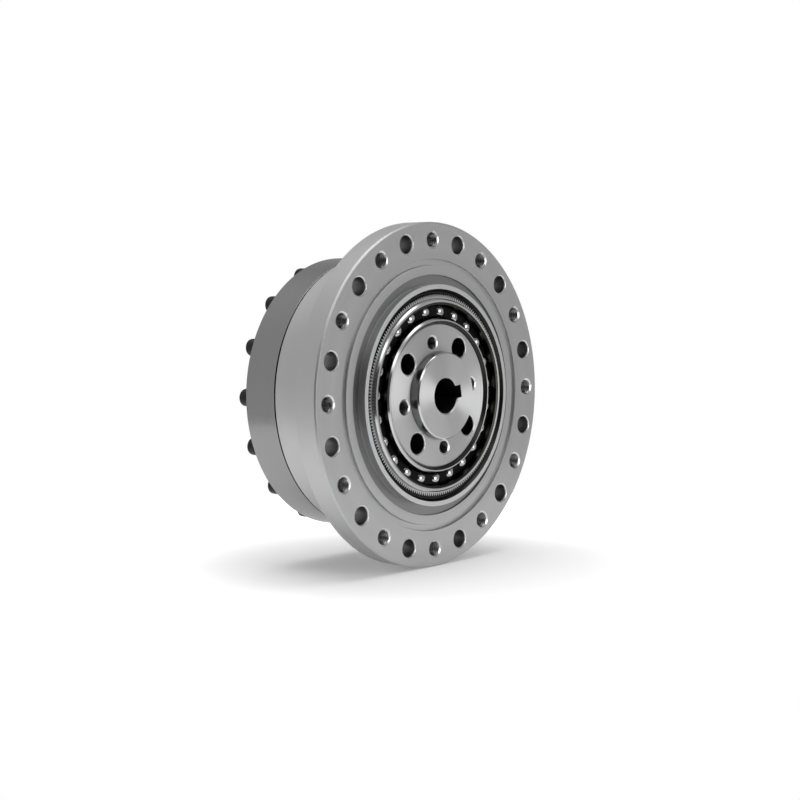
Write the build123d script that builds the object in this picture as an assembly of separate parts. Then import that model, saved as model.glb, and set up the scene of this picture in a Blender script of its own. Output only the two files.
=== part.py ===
from build123d import *
import math
import os

# Strain wave gear unit with a cup-shaped flexspline and a crossed roller output bearing.
# Sizes are in millimetres. The gear axis is Y and the input side faces -Y.
# The origin is the centre of the mounting flange's front face, and +Z is up.

# Gear teeth and the wave that bends the flexspline
FLEX_TEETH = 200
EXTRA_RING_TEETH = 2
MODULE = 0.3125
FLEX_ADDENDUM = 0.30
FLEX_DEDENDUM = 0.35
RING_ADDENDUM = 0.2125
RING_DEDENDUM = 0.40
FLANK_SLOPE = 0.5
BACKLASH = 0.02
REST_TURN = 9.5

# Mounting flange and body, with the fixed ring teeth cut in its bore
FLANGE_THICKNESS = 8.0
EDGE_CHAMFER = 0.5
BODY_LENGTH = 26.7
BODY_TO_BOLT_CIRCLE = 5.0
BOLT_CIRCLE_TO_RIM = 5.5
BOLT_COUNT = 12
CLEARANCE_HOLE_RADIUS = 2.75
TAPPED_HOLE_RADIUS = 2.1
SEAL_GROOVE_WIDTH = 1.95
SEAL_GROOVE_DEPTH = 1.0
SEAL_LAND_WIDTH = 2.95
RECESS_WIDTH = 2.9
RECESS_DEPTH = 0.6
COLLAR_LAND = 1.5
COLLAR_HEIGHT = 2.1
COLLAR_STEP = 0.79
RING_TOOTH_FRONT = -1.0
RING_TOOTH_WIDTH = 10.4
RING_TOOTH_BACKING = 0.1
RELIEF_DEPTH = 1.54
JOINT_CHAMFER = 0.25

# Joint between the body and the output bearing
SPIGOT_WALL = 4.5
SPIGOT_LENGTH = 2.0
SPIGOT_END_GAP = 0.05
JOINT_RING_WIDTH = 1.4
JOINT_RING_DEPTH = 1.25
JOINT_RING_SETBACK = 0.3

# Crossed roller bearing between the body and the output flange
OUTER_RACE_STEP = 0.1
OUTER_RACE_WIDTH = 12.8
CUP_TO_ROLLER_CIRCLE = 2.32
ROLLER_COUNT = 36
ROLLER_RADIUS = 2.5
ROLLER_LENGTH = 4.8
ROLLER_SIDES = 12
RACE_GAP = 0.4
SPACER_RADIUS = 2.0
SPACER_THICKNESS = 0.5
SPACER_SIDES = 8
SHAFT_SEAL_WIDTH = 2.4
SHAFT_SEAL_POCKET = 3.0
SHAFT_SEAL_SHELL = 1.6
SEAL_LIP_WIDTH = 0.6

# Output flange, and the front half of the inner race that it carries
OUTPUT_STAND = 4.5
OUTPUT_SEAT_LIFT = 1.7
RACE_SCREWS_TO_SPIGOT = 2.7
PILOT_TO_BOLTS = 6.0
OUTPUT_PILOT_DEPTH = 3.0
RACE_SCREWS_TO_BOLTS = 5.7
OUTPUT_BOLT_COUNT = 8
OUTPUT_HOLE_RADIUS = 2.5
OUTPUT_HOLE_DEPTH = 10.0
FRONT_RACE_WIDTH = 4.5

# Flexspline: a thin cup, toothed outside at its open end
RIM_FRONT = -1.4
FLEX_TOOTH_WIDTH = 11.0
RIM_THICKNESS = 0.67
CUP_WALL = 0.45
CUP_ROUND_LENGTH = 4.0
CUP_CORNER = 0.8
DIAPHRAGM_THICKNESS = 0.6
CUP_BOSS_THICKNESS = 4.0
CUP_BOSS_MARGIN = 0.1
CLAMP_RING_THICKNESS = 3.0
CLAMP_RING_MARGIN = 0.15

# Thin ball bearing that the cam plug bends to an ellipse
BALL_COUNT = 23
BALL_RADIUS = 2.8
BALL_TURN = 4.9
BALL_SIDES = 10
BALL_BANDS = 4
BALL_CAP_LATITUDE = 72.0
WAVE_RACE_WALL = 1.0
WAVE_RACE_SHOULDER = 0.6
WAVE_RACE_WIDTH = 9.0
WAVE_RACE_FRONT = -2.7
INNER_RACE_CHAMFER = 0.8
OUTER_RACE_CHAMFER = 1.0
GROOVE_FLAT = 2.4
GROOVE_SIDE_SLOPE = 0.75
CAGE_SHOULDER_GAP = 0.45
CAGE_REACH = 2.2
CAGE_BASE = 0.9
CAGE_POCKET_GAP = 0.1

# Cam plug with its keyed hub
PLUG_FRONT = -1.9
PLUG_THICKNESS = 7.5
RIM_TO_HUB = 9.2
HUB_FRONT = -5.1
HUB_LENGTH = 15.7
BORE_RADIUS = 5.5
KEYWAY_WIDTH = 4.0
KEYWAY_DEPTH = 1.8
HUB_CHAMFER = 0.4
BORE_CHAMFER = 0.4
PLUG_CHAMFER = 0.4
VENT_RADIUS = 3.25
RIM_TO_VENTS = 5.1
VENT_COUNT = 4
JACK_RADIUS = 1.75
RIM_TO_JACKS = 6.1
JACK_COUNT = 4

# Fasteners: thread radius, head radius, head height, socket radius, length under the head
BODY_SCREW = (1.5, 2.75, 3.0, 1.45, 20.0)
BODY_SCREW_COUNT = 16
BODY_SCREW_EDGE = 3.0
SPIGOT_TO_BODY_SCREWS = 2.1
RACE_SCREW = (1.25, 2.25, 2.5, 1.15, 8.0)
RACE_SCREW_COUNT = 8
ROLLER_CIRCLE_TO_RACE_SCREWS = 6.3
CLAMP_SCREW = (2.5, 4.25, 5.0, 2.3, 14.0)
CLAMP_SCREW_COUNT = 6
CLAMP_SCREW_CIRCLE_RADIUS = 12.5
DOWEL_RADIUS = 2.0
DOWEL_LENGTH = 12.0
DOWEL_SINK = 0.5
SCREW_SIDES = 12
SOCKET_DEPTH_SHARE = 0.6

# Clearances
FIT = 0.02
SNUG = 0.03
SCREW_CLEARANCE = 0.2
HOLE_BOTTOM_GAP = 0.3
RUNNING_GAP = 0.03
CLEAR = 1.0

# Gear sizes worked out from the sizes above
RING_TEETH = FLEX_TEETH + EXTRA_RING_TEETH
FLEX_PITCH_RADIUS = MODULE * FLEX_TEETH / 2
RING_PITCH_RADIUS = MODULE * RING_TEETH / 2
WAVE = RING_PITCH_RADIUS - FLEX_PITCH_RADIUS
HALF_TOOTH = math.pi * MODULE / 4 - BACKLASH / 2

# The thin bearing and the cup's wall, from the teeth inwards
CUP_BORE_RADIUS = FLEX_PITCH_RADIUS - FLEX_DEDENDUM - RIM_THICKNESS
CUP_RADIUS = CUP_BORE_RADIUS + CUP_WALL
WAVE_RACE_RADIUS = CUP_BORE_RADIUS - SNUG
OUTER_RACE_BOTTOM = WAVE_RACE_RADIUS - WAVE_RACE_WALL
BALL_CIRCLE_RADIUS = OUTER_RACE_BOTTOM - BALL_RADIUS
INNER_RACE_BOTTOM = BALL_CIRCLE_RADIUS - BALL_RADIUS
PLUG_RADIUS = INNER_RACE_BOTTOM - WAVE_RACE_WALL
HUB_RADIUS = PLUG_RADIUS - RIM_TO_HUB
VENT_CIRCLE_RADIUS = PLUG_RADIUS - RIM_TO_VENTS
JACK_CIRCLE_RADIUS = PLUG_RADIUS - RIM_TO_JACKS
KEYWAY_REACH = BORE_RADIUS + KEYWAY_DEPTH
RIM_END = RIM_FRONT + FLEX_TOOTH_WIDTH
WAVE_RACE_END = WAVE_RACE_FRONT + WAVE_RACE_WIDTH
BALL_CENTRE = WAVE_RACE_FRONT + WAVE_RACE_WIDTH / 2
GROOVE_HALF_MOUTH = GROOVE_FLAT / 2 + (WAVE_RACE_SHOULDER + RUNNING_GAP) / GROOVE_SIDE_SLOPE
PLUG_END = PLUG_FRONT + PLUG_THICKNESS
HUB_END = HUB_FRONT + HUB_LENGTH

# The fixed teeth and the face round them, from the teeth outwards
RING_ROOT_RADIUS = RING_PITCH_RADIUS + RING_DEDENDUM
TOOTH_FACE_RADIUS = RING_ROOT_RADIUS + RING_TOOTH_BACKING
RELIEF_RADIUS = TOOTH_FACE_RADIUS + RELIEF_DEPTH
COLLAR_BORE_RADIUS = TOOTH_FACE_RADIUS + COLLAR_STEP
COLLAR_RADIUS = COLLAR_BORE_RADIUS + COLLAR_LAND
RECESS_OUTER_RADIUS = COLLAR_RADIUS + RECESS_WIDTH
SEAL_GROOVE_RADIUS = RECESS_OUTER_RADIUS + SEAL_LAND_WIDTH
SEAL_GROOVE_OUTER_RADIUS = SEAL_GROOVE_RADIUS + SEAL_GROOVE_WIDTH
RING_TOOTH_END = RING_TOOTH_FRONT + RING_TOOTH_WIDTH
CLEAR_BORE = RING_PITCH_RADIUS - RING_ADDENDUM - CLEAR

# The output bearing round the cup, and the body round the bearing
ROLLER_CIRCLE_RADIUS = CUP_RADIUS + CUP_TO_ROLLER_CIRCLE
JOURNAL_RADIUS = ROLLER_CIRCLE_RADIUS - RACE_GAP
RACE_BORE_RADIUS = ROLLER_CIRCLE_RADIUS + RACE_GAP
RACE_APEX = (ROLLER_RADIUS + RUNNING_GAP) * math.sqrt(2)
RACE_MOUTH = RACE_APEX - RACE_GAP
SHAFT_SEAL_OUTER_RADIUS = RACE_BORE_RADIUS + SHAFT_SEAL_POCKET
SPIGOT_RADIUS = RACE_BORE_RADIUS + SPIGOT_WALL
BODY_SCREW_CIRCLE_RADIUS = SPIGOT_RADIUS + SPIGOT_TO_BODY_SCREWS
BODY_RADIUS = BODY_SCREW_CIRCLE_RADIUS + BODY_SCREW_EDGE
OUTER_RACE_RADIUS = BODY_RADIUS - OUTER_RACE_STEP
BOLT_CIRCLE_RADIUS = BODY_RADIUS + BODY_TO_BOLT_CIRCLE
FLANGE_RADIUS = BOLT_CIRCLE_RADIUS + BOLT_CIRCLE_TO_RIM
RACE_END = BODY_LENGTH + OUTER_RACE_WIDTH
ROLLER_CENTRE = BODY_LENGTH + OUTER_RACE_WIDTH / 2
SPIGOT_FRONT = BODY_LENGTH - SPIGOT_LENGTH + SPIGOT_END_GAP
JOINT_GROOVE_FRONT = SPIGOT_FRONT + JOINT_RING_SETBACK

# The output flange inside the bearing, and what is screwed to it
RACE_SCREW_CIRCLE_RADIUS = ROLLER_CIRCLE_RADIUS - ROLLER_CIRCLE_TO_RACE_SCREWS
OUTPUT_SPIGOT_RADIUS = RACE_SCREW_CIRCLE_RADIUS - RACE_SCREWS_TO_SPIGOT
OUTPUT_BOLT_CIRCLE_RADIUS = RACE_SCREW_CIRCLE_RADIUS - RACE_SCREWS_TO_BOLTS
OUTPUT_PILOT_RADIUS = OUTPUT_BOLT_CIRCLE_RADIUS - PILOT_TO_BOLTS
CUP_BOSS_HOLE_RADIUS = CLAMP_SCREW_CIRCLE_RADIUS - CLAMP_SCREW[1] - CLAMP_RING_MARGIN
CLAMP_RING_RADIUS = CLAMP_SCREW_CIRCLE_RADIUS + CLAMP_SCREW[1] + CLAMP_RING_MARGIN
CUP_BOSS_RADIUS = CLAMP_RING_RADIUS + CUP_BOSS_MARGIN
OUTPUT_END = RACE_END + OUTPUT_STAND
OUTPUT_SEAT = ROLLER_CENTRE - OUTPUT_SEAT_LIFT
CUP_FLOOR = OUTPUT_SEAT - CUP_BOSS_THICKNESS
CLAMP_FRONT = CUP_FLOOR - CLAMP_RING_THICKNESS
FRONT_RACE_FACE = ROLLER_CENTRE - FRONT_RACE_WIDTH
RACE_SCREW_SEAT = FRONT_RACE_FACE + RACE_SCREW[2] + FIT
DOWEL_ANGLE = 180 / CLAMP_SCREW_COUNT


# Shapes that many pieces share

def turned(*points):
    """A solid turned about the gear axis, from (radius, y) points."""
    return revolve(make_face(Polyline(*points, close=True)), Axis.Y)


def seen_from_input(y):
    """The sketch plane at depth y as the input side shows it: x to the right, z up."""
    return Plane(origin=(0, y, 0), x_dir=(1, 0, 0), z_dir=(0, -1, 0))


def bar(sketch, front, end):
    """A sketch seen from the input side, carried back from y = front to y = end."""
    return extrude(seen_from_input(front) * sketch, front - end)


def on_circle(shape, circle_radius, count, first_angle=0.0):
    """Copies of a sketch, evenly spaced on a circle about the gear axis."""
    return Sketch() + PolarLocations(circle_radius, count, first_angle) * shape


def hole_circle(radius, circle_radius, count, first_angle, front, end):
    """Round holes along the gear axis, on a circle."""
    return bar(on_circle(Circle(radius), circle_radius, count, first_angle), front, end)


def waved(radius, wave=WAVE):
    """The ellipse that a circle of this radius takes on the cam plug."""
    return Ellipse(radius + wave, radius - wave, rotation=REST_TURN)


def waved_loft(sections):
    """Straight walls between ellipses, each given as (radius, wave, y)."""
    return loft([seen_from_input(y) * waved(radius, wave) for radius, wave, y in sections], ruled=True)


def cap_screw(size, point_at_front):
    """A socket cap screw along Y with its seat at y = 0 and its shank on one side."""
    thread_radius, head_radius, head_height, socket_radius, length = size
    head = extrude(RegularPolygon(head_radius, SCREW_SIDES), head_height)
    socket_depth = head_height * SOCKET_DEPTH_SHARE
    socket = Pos(0, 0, head_height - socket_depth) * extrude(RegularPolygon(socket_radius, 6), socket_depth)
    shank = extrude(RegularPolygon(thread_radius, SCREW_SIDES), -length)
    upright = head - socket + shank
    return Rot(X=-90 if point_at_front else 90) * upright


def screw_circle(size, circle_radius, count, first_angle, seat, head_at_back):
    """Cap screws on a circle, each a solid of its own, with their seats at one depth."""
    screw = cap_screw(size, head_at_back)
    return [Pos(0, seat, 0) * at_angle(circle_radius, first_angle + 360 * k / count) * screw
            for k in range(count)]


def at_angle(circle_radius, angle):
    """The place on a circle about the gear axis, at an angle seen from the input side."""
    turn = math.radians(angle)
    return Pos(circle_radius * math.cos(turn), 0, circle_radius * math.sin(turn))


# Gear teeth

def bent_place(angle, radius):
    """Where a point of the round rim lies once the cam plug has bent it: a sketch point."""
    lifted = radius + WAVE * math.cos(2 * angle)
    shifted = angle - WAVE / (2 * FLEX_PITCH_RADIUS) * math.sin(2 * angle)
    return polar_place(shifted, lifted)


def polar_place(angle, radius):
    """A sketch point at an angle from the wave generator's long axis at rest."""
    turned_angle = angle + math.radians(REST_TURN)
    return (radius * math.cos(turned_angle), radius * math.sin(turned_angle))


def flex_rim_outline():
    """The toothed outline of the bent rim, with one tooth on the long axis."""
    tip = (FLEX_PITCH_RADIUS + FLEX_ADDENDUM, HALF_TOOTH - FLEX_ADDENDUM * FLANK_SLOPE)
    root = (FLEX_PITCH_RADIUS - FLEX_DEDENDUM, HALF_TOOTH + FLEX_DEDENDUM * FLANK_SLOPE)
    corners = [(root, -1), (tip, -1), (tip, 1), (root, 1)]
    points = [
        bent_place(2 * math.pi * tooth / FLEX_TEETH + side * half / radius, radius)
        for tooth in range(FLEX_TEETH)
        for (radius, half), side in corners
    ]
    return make_face(Polyline(*points, close=True))


def ring_bore_outline():
    """The bore of the fixed ring between its teeth, with one space on the long axis."""
    half_space = math.pi * MODULE / 2 - HALF_TOOTH
    tip = (RING_PITCH_RADIUS - RING_ADDENDUM, half_space + RING_ADDENDUM * FLANK_SLOPE)
    root = (RING_ROOT_RADIUS, half_space - RING_DEDENDUM * FLANK_SLOPE)
    corners = [(tip, -1), (root, -1), (root, 1), (tip, 1)]
    points = [
        polar_place(2 * math.pi * space / RING_TEETH + side * half / radius, radius)
        for space in range(RING_TEETH)
        for (radius, half), side in corners
    ]
    return make_face(Polyline(*points, close=True))


# Pieces that stand still with the body

def circular_spline_flange():
    """The mounting flange and body in one, with the fixed ring teeth in its bore."""
    body = turned(
        (COLLAR_BORE_RADIUS, -COLLAR_HEIGHT),
        (COLLAR_RADIUS, -COLLAR_HEIGHT),
        (COLLAR_RADIUS, RECESS_DEPTH),
        (RECESS_OUTER_RADIUS, RECESS_DEPTH),
        (RECESS_OUTER_RADIUS, 0),
        (SEAL_GROOVE_RADIUS, 0),
        (SEAL_GROOVE_RADIUS, SEAL_GROOVE_DEPTH),
        (SEAL_GROOVE_OUTER_RADIUS, SEAL_GROOVE_DEPTH),
        (SEAL_GROOVE_OUTER_RADIUS, 0),
        (FLANGE_RADIUS - EDGE_CHAMFER, 0),
        (FLANGE_RADIUS, EDGE_CHAMFER),
        (FLANGE_RADIUS, FLANGE_THICKNESS),
        (BODY_RADIUS, FLANGE_THICKNESS),
        (BODY_RADIUS, BODY_LENGTH - JOINT_CHAMFER),
        (BODY_RADIUS - JOINT_CHAMFER, BODY_LENGTH),
        (SPIGOT_RADIUS, BODY_LENGTH),
        (SPIGOT_RADIUS, BODY_LENGTH - SPIGOT_LENGTH),
        (RELIEF_RADIUS, BODY_LENGTH - SPIGOT_LENGTH),
        (RELIEF_RADIUS, RING_TOOTH_END + RELIEF_RADIUS - TOOTH_FACE_RADIUS),
        (TOOTH_FACE_RADIUS, RING_TOOTH_END),
        (CLEAR_BORE, RING_TOOTH_END),
        (CLEAR_BORE, RING_TOOTH_FRONT),
        (TOOTH_FACE_RADIUS, RING_TOOTH_FRONT),
    )
    body -= bar(ring_bore_outline(), RING_TOOTH_FRONT - CLEAR, RING_TOOTH_END + CLEAR)
    step = 360 / BOLT_COUNT
    body -= hole_circle(TAPPED_HOLE_RADIUS, BOLT_CIRCLE_RADIUS, BOLT_COUNT, 0,
                        -CLEAR, FLANGE_THICKNESS + CLEAR)
    body -= hole_circle(CLEARANCE_HOLE_RADIUS, BOLT_CIRCLE_RADIUS, BOLT_COUNT, step / 2,
                        -CLEAR, FLANGE_THICKNESS + CLEAR)
    thread_radius, length = BODY_SCREW[0], BODY_SCREW[4]
    hole_end = RACE_END - length - HOLE_BOTTOM_GAP
    body -= hole_circle(thread_radius + FIT, BODY_SCREW_CIRCLE_RADIUS, BODY_SCREW_COUNT, 0,
                        hole_end, BODY_LENGTH + CLEAR)
    return body


def joint_o_ring():
    """The static seal, squeezed in the groove of the outer race's spigot."""
    outer = SPIGOT_RADIUS - FIT - SNUG
    inner = SPIGOT_RADIUS - FIT - JOINT_RING_DEPTH + SNUG
    front = JOINT_GROOVE_FRONT + SNUG
    return turned((inner, front), (outer, front), (outer, front + JOINT_RING_WIDTH - 2 * SNUG),
                  (inner, front + JOINT_RING_WIDTH - 2 * SNUG))


def outer_race():
    """The rear ring: the output bearing's outer race, with its spigot and seal pocket."""
    spigot = SPIGOT_RADIUS - FIT
    groove_end = JOINT_GROOVE_FRONT + JOINT_RING_WIDTH
    ring = turned(
        (RACE_BORE_RADIUS, SPIGOT_FRONT),
        (spigot, SPIGOT_FRONT),
        (spigot, JOINT_GROOVE_FRONT),
        (spigot - JOINT_RING_DEPTH, JOINT_GROOVE_FRONT),
        (spigot - JOINT_RING_DEPTH, groove_end),
        (spigot, groove_end),
        (spigot, BODY_LENGTH),
        (OUTER_RACE_RADIUS - JOINT_CHAMFER, BODY_LENGTH),
        (OUTER_RACE_RADIUS, BODY_LENGTH + JOINT_CHAMFER),
        (OUTER_RACE_RADIUS, RACE_END - EDGE_CHAMFER),
        (OUTER_RACE_RADIUS - EDGE_CHAMFER, RACE_END),
        (SHAFT_SEAL_OUTER_RADIUS, RACE_END),
        (SHAFT_SEAL_OUTER_RADIUS, RACE_END - SHAFT_SEAL_WIDTH),
        (RACE_BORE_RADIUS, RACE_END - SHAFT_SEAL_WIDTH),
        (RACE_BORE_RADIUS, ROLLER_CENTRE + RACE_MOUTH),
        (ROLLER_CIRCLE_RADIUS + RACE_APEX, ROLLER_CENTRE),
        (RACE_BORE_RADIUS, ROLLER_CENTRE - RACE_MOUTH),
    )
    return ring - hole_circle(BODY_SCREW[0] + SCREW_CLEARANCE, BODY_SCREW_CIRCLE_RADIUS,
                              BODY_SCREW_COUNT, 0, SPIGOT_FRONT, RACE_END + CLEAR)


def output_shaft_seal():
    """The rubber lip seal in the outer race's pocket, on the output flange's journal."""
    outer = SHAFT_SEAL_OUTER_RADIUS - FIT
    shell = outer - SHAFT_SEAL_SHELL
    front = RACE_END - SHAFT_SEAL_WIDTH + SNUG
    back = RACE_END - SNUG
    lip = JOURNAL_RADIUS + RUNNING_GAP
    middle = (front + back) / 2
    return turned((outer, front), (outer, back), (shell, back), (lip, middle + SEAL_LIP_WIDTH / 2),
                  (lip, middle - SEAL_LIP_WIDTH / 2), (shell, front))


def body_screws():
    """The cap screws through the outer race into the body."""
    return screw_circle(BODY_SCREW, BODY_SCREW_CIRCLE_RADIUS, BODY_SCREW_COUNT, 0, RACE_END, True)


# Pieces that turn with the output

def output_flange():
    """The output flange, with the rear half of the inner race turned on its edge."""
    flange = turned(
        (0, OUTPUT_SEAT),
        (OUTPUT_SPIGOT_RADIUS, OUTPUT_SEAT),
        (OUTPUT_SPIGOT_RADIUS, ROLLER_CENTRE),
        (ROLLER_CIRCLE_RADIUS - RACE_APEX, ROLLER_CENTRE),
        (JOURNAL_RADIUS, ROLLER_CENTRE + RACE_MOUTH),
        (JOURNAL_RADIUS, OUTPUT_END - EDGE_CHAMFER),
        (JOURNAL_RADIUS - EDGE_CHAMFER, OUTPUT_END),
        (OUTPUT_PILOT_RADIUS, OUTPUT_END),
        (OUTPUT_PILOT_RADIUS, OUTPUT_END - OUTPUT_PILOT_DEPTH),
        (0, OUTPUT_END - OUTPUT_PILOT_DEPTH),
    )
    flange -= hole_circle(OUTPUT_HOLE_RADIUS, OUTPUT_BOLT_CIRCLE_RADIUS, OUTPUT_BOLT_COUNT, 0,
                          OUTPUT_END - OUTPUT_HOLE_DEPTH, OUTPUT_END + CLEAR)
    flange -= hole_circle(CLAMP_SCREW[0] + FIT, CLAMP_SCREW_CIRCLE_RADIUS, CLAMP_SCREW_COUNT, 0,
                          OUTPUT_SEAT - CLEAR, CLAMP_FRONT + CLAMP_SCREW[4] + HOLE_BOTTOM_GAP)
    flange -= hole_circle(RACE_SCREW[0] + FIT, RACE_SCREW_CIRCLE_RADIUS, RACE_SCREW_COUNT, 0,
                          ROLLER_CENTRE - CLEAR, RACE_SCREW_SEAT + RACE_SCREW[4] + HOLE_BOTTOM_GAP)
    return flange - dowel_holes(OUTPUT_SEAT - CLEAR)


def dowel_holes(front):
    """The two reamed holes for the dowels, from a depth to just past their ends."""
    return hole_circle(DOWEL_RADIUS + FIT, CLAMP_SCREW_CIRCLE_RADIUS, 2, DOWEL_ANGLE, front,
                       CLAMP_FRONT + DOWEL_SINK + DOWEL_LENGTH + HOLE_BOTTOM_GAP)


def front_race():
    """The front half of the inner race, screwed to the output flange."""
    race = turned(
        (OUTPUT_SPIGOT_RADIUS + FIT, FRONT_RACE_FACE),
        (JOURNAL_RADIUS, FRONT_RACE_FACE),
        (JOURNAL_RADIUS, ROLLER_CENTRE - RACE_MOUTH),
        (ROLLER_CIRCLE_RADIUS - RACE_APEX, ROLLER_CENTRE),
        (OUTPUT_SPIGOT_RADIUS + FIT, ROLLER_CENTRE),
    )
    race -= hole_circle(RACE_SCREW[0] + SCREW_CLEARANCE, RACE_SCREW_CIRCLE_RADIUS,
                        RACE_SCREW_COUNT, 0, FRONT_RACE_FACE, ROLLER_CENTRE + CLEAR)
    return race - hole_circle(RACE_SCREW[1] + SCREW_CLEARANCE, RACE_SCREW_CIRCLE_RADIUS,
                              RACE_SCREW_COUNT, 0, FRONT_RACE_FACE - CLEAR, RACE_SCREW_SEAT)


def front_race_screws():
    """The small cap screws sunk in the front race."""
    return screw_circle(RACE_SCREW, RACE_SCREW_CIRCLE_RADIUS, RACE_SCREW_COUNT, 0,
                        RACE_SCREW_SEAT, False)


def flexspline():
    """The thin cup in its bent state: toothed rim, wall, diaphragm and bolted boss."""
    round_front = CUP_FLOOR - CUP_ROUND_LENGTH
    cup_end = CUP_FLOOR + DIAPHRAGM_THICKNESS
    cup = bar(flex_rim_outline(), RIM_FRONT, RIM_END)
    cup += waved_loft([(CUP_RADIUS, WAVE, RIM_END), (CUP_RADIUS, 0, round_front)])
    cup += turned((0, round_front), (CUP_RADIUS, round_front), (CUP_RADIUS, cup_end - CUP_CORNER),
                  (CUP_RADIUS - CUP_CORNER, cup_end), (CUP_BOSS_RADIUS, cup_end),
                  (CUP_BOSS_RADIUS, OUTPUT_SEAT), (0, OUTPUT_SEAT))
    hollow = bar(waved(CUP_BORE_RADIUS), RIM_FRONT, RIM_END)
    hollow += waved_loft([(CUP_BORE_RADIUS, WAVE, RIM_END), (CUP_BORE_RADIUS, 0, round_front)])
    hollow += turned((0, round_front), (CUP_BORE_RADIUS, round_front), (CUP_BORE_RADIUS, CUP_FLOOR),
                     (CUP_BOSS_HOLE_RADIUS, CUP_FLOOR), (CUP_BOSS_HOLE_RADIUS, OUTPUT_SEAT),
                     (0, OUTPUT_SEAT))
    cup -= hollow
    cup -= clamp_holes(CUP_FLOOR, OUTPUT_SEAT)
    return cup - dowel_holes(CUP_FLOOR - CLEAR)


def clamp_holes(front, end):
    """Clearance holes for the clamp screws between two depths."""
    return hole_circle(CLAMP_SCREW[0] + SCREW_CLEARANCE, CLAMP_SCREW_CIRCLE_RADIUS,
                       CLAMP_SCREW_COUNT, 0, front - CLEAR, end + CLEAR)


def clamp_ring():
    """The ring under the clamp screws' heads that holds the cup's boss to the output flange."""
    ring = turned((CUP_BOSS_HOLE_RADIUS, CLAMP_FRONT), (CLAMP_RING_RADIUS, CLAMP_FRONT),
                  (CLAMP_RING_RADIUS, CUP_FLOOR), (CUP_BOSS_HOLE_RADIUS, CUP_FLOOR))
    return ring - clamp_holes(CLAMP_FRONT, CUP_FLOOR) - dowel_holes(CLAMP_FRONT - CLEAR)


def clamp_screws():
    """The cap screws through the clamp ring and the cup's boss into the output flange."""
    return screw_circle(CLAMP_SCREW, CLAMP_SCREW_CIRCLE_RADIUS, CLAMP_SCREW_COUNT, 0,
                        CLAMP_FRONT, False)


def dowels():
    """The two pins that carry torque from the cup's boss to the output flange."""
    front = CLAMP_FRONT + DOWEL_SINK
    pin = bar(Circle(DOWEL_RADIUS), front, front + DOWEL_LENGTH)
    return [at_angle(CLAMP_SCREW_CIRCLE_RADIUS, DOWEL_ANGLE + turn) * pin for turn in (0, 180)]


def wave_bearing_outer_race():
    """The thin outer race, bent to the ellipse, that presses the rim outwards."""
    shoulder = OUTER_RACE_BOTTOM - WAVE_RACE_SHOULDER
    race = bar(waved(WAVE_RACE_RADIUS) - waved(shoulder), WAVE_RACE_FRONT, WAVE_RACE_END)
    race -= race_chamfer(shoulder, OUTER_RACE_CHAMFER, WAVE_RACE_FRONT, 1)
    race -= race_chamfer(shoulder, OUTER_RACE_CHAMFER, WAVE_RACE_END, -1)
    return race - groove_cutter(shoulder, OUTER_RACE_BOTTOM + RUNNING_GAP)


def race_chamfer(radius, chamfer, face, inwards):
    """The cone that takes the edge off a bent race's bore at one of its end faces."""
    return waved_loft([
        (radius + chamfer + CLEAR, WAVE, face - inwards * CLEAR),
        (radius - CLEAR, WAVE, face + inwards * (chamfer + CLEAR)),
    ])


def groove_cutter(shoulder, bottom):
    """The ball groove's space between its shoulder and its bottom, as an ellipse-shaped band."""
    half_mouth = GROOVE_FLAT / 2 + abs(bottom - shoulder) / GROOVE_SIDE_SLOPE
    return waved_loft([
        (shoulder, WAVE, BALL_CENTRE - half_mouth),
        (bottom, WAVE, BALL_CENTRE - GROOVE_FLAT / 2),
        (bottom, WAVE, BALL_CENTRE + GROOVE_FLAT / 2),
        (shoulder, WAVE, BALL_CENTRE + half_mouth),
    ])


# Pieces that turn between the races

def faceted_ball(radius):
    """A ball with flat facets and its corners on the sphere."""
    rings = []
    for band in range(BALL_BANDS + 1):
        latitude = math.radians(BALL_CAP_LATITUDE * (2 * band / BALL_BANDS - 1))
        ring_radius = radius * math.cos(latitude)
        rings.append([
            Vector(ring_radius * math.cos(turn), radius * math.sin(latitude), ring_radius * math.sin(turn))
            for turn in (2 * math.pi * side / BALL_SIDES for side in range(BALL_SIDES))
        ])
    faces = [make_face(Polyline(*ring, close=True)).face() for ring in (rings[0], rings[-1])]
    for low, high in zip(rings, rings[1:]):
        for side in range(BALL_SIDES):
            after = (side + 1) % BALL_SIDES
            corners = (low[side], low[after], high[after], high[side])
            faces.append(make_face(Polyline(*corners, close=True)).face())
    return Solid(Shell(faces))


def ball_places():
    """Where the balls stand on their bent circle at rest."""
    places = []
    for ball in range(BALL_COUNT):
        angle = BALL_TURN + 360 * ball / BALL_COUNT
        lift = WAVE * math.cos(2 * math.radians(angle - REST_TURN))
        place = Pos(0, BALL_CENTRE, 0) * at_angle(BALL_CIRCLE_RADIUS + lift, angle)
        places.append(place * Rot(Y=-angle))
    return places


def wave_bearing_balls():
    """The balls of the thin bearing."""
    ball = faceted_ball(BALL_RADIUS)
    return [place * ball for place in ball_places()]


def wave_bearing_cage():
    """The moulded cage: a band with a pocket that laps each ball's front and back."""
    inner = INNER_RACE_BOTTOM + WAVE_RACE_SHOULDER + CAGE_SHOULDER_GAP
    outer = OUTER_RACE_BOTTOM - WAVE_RACE_SHOULDER - CAGE_SHOULDER_GAP
    cage = bar(waved(outer) - waved(inner), BALL_CENTRE - CAGE_REACH, BALL_CENTRE + BALL_RADIUS + CAGE_BASE)
    pocket = faceted_ball(BALL_RADIUS + CAGE_POCKET_GAP)
    for place in ball_places():
        cage -= place * pocket
    return cage


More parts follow.
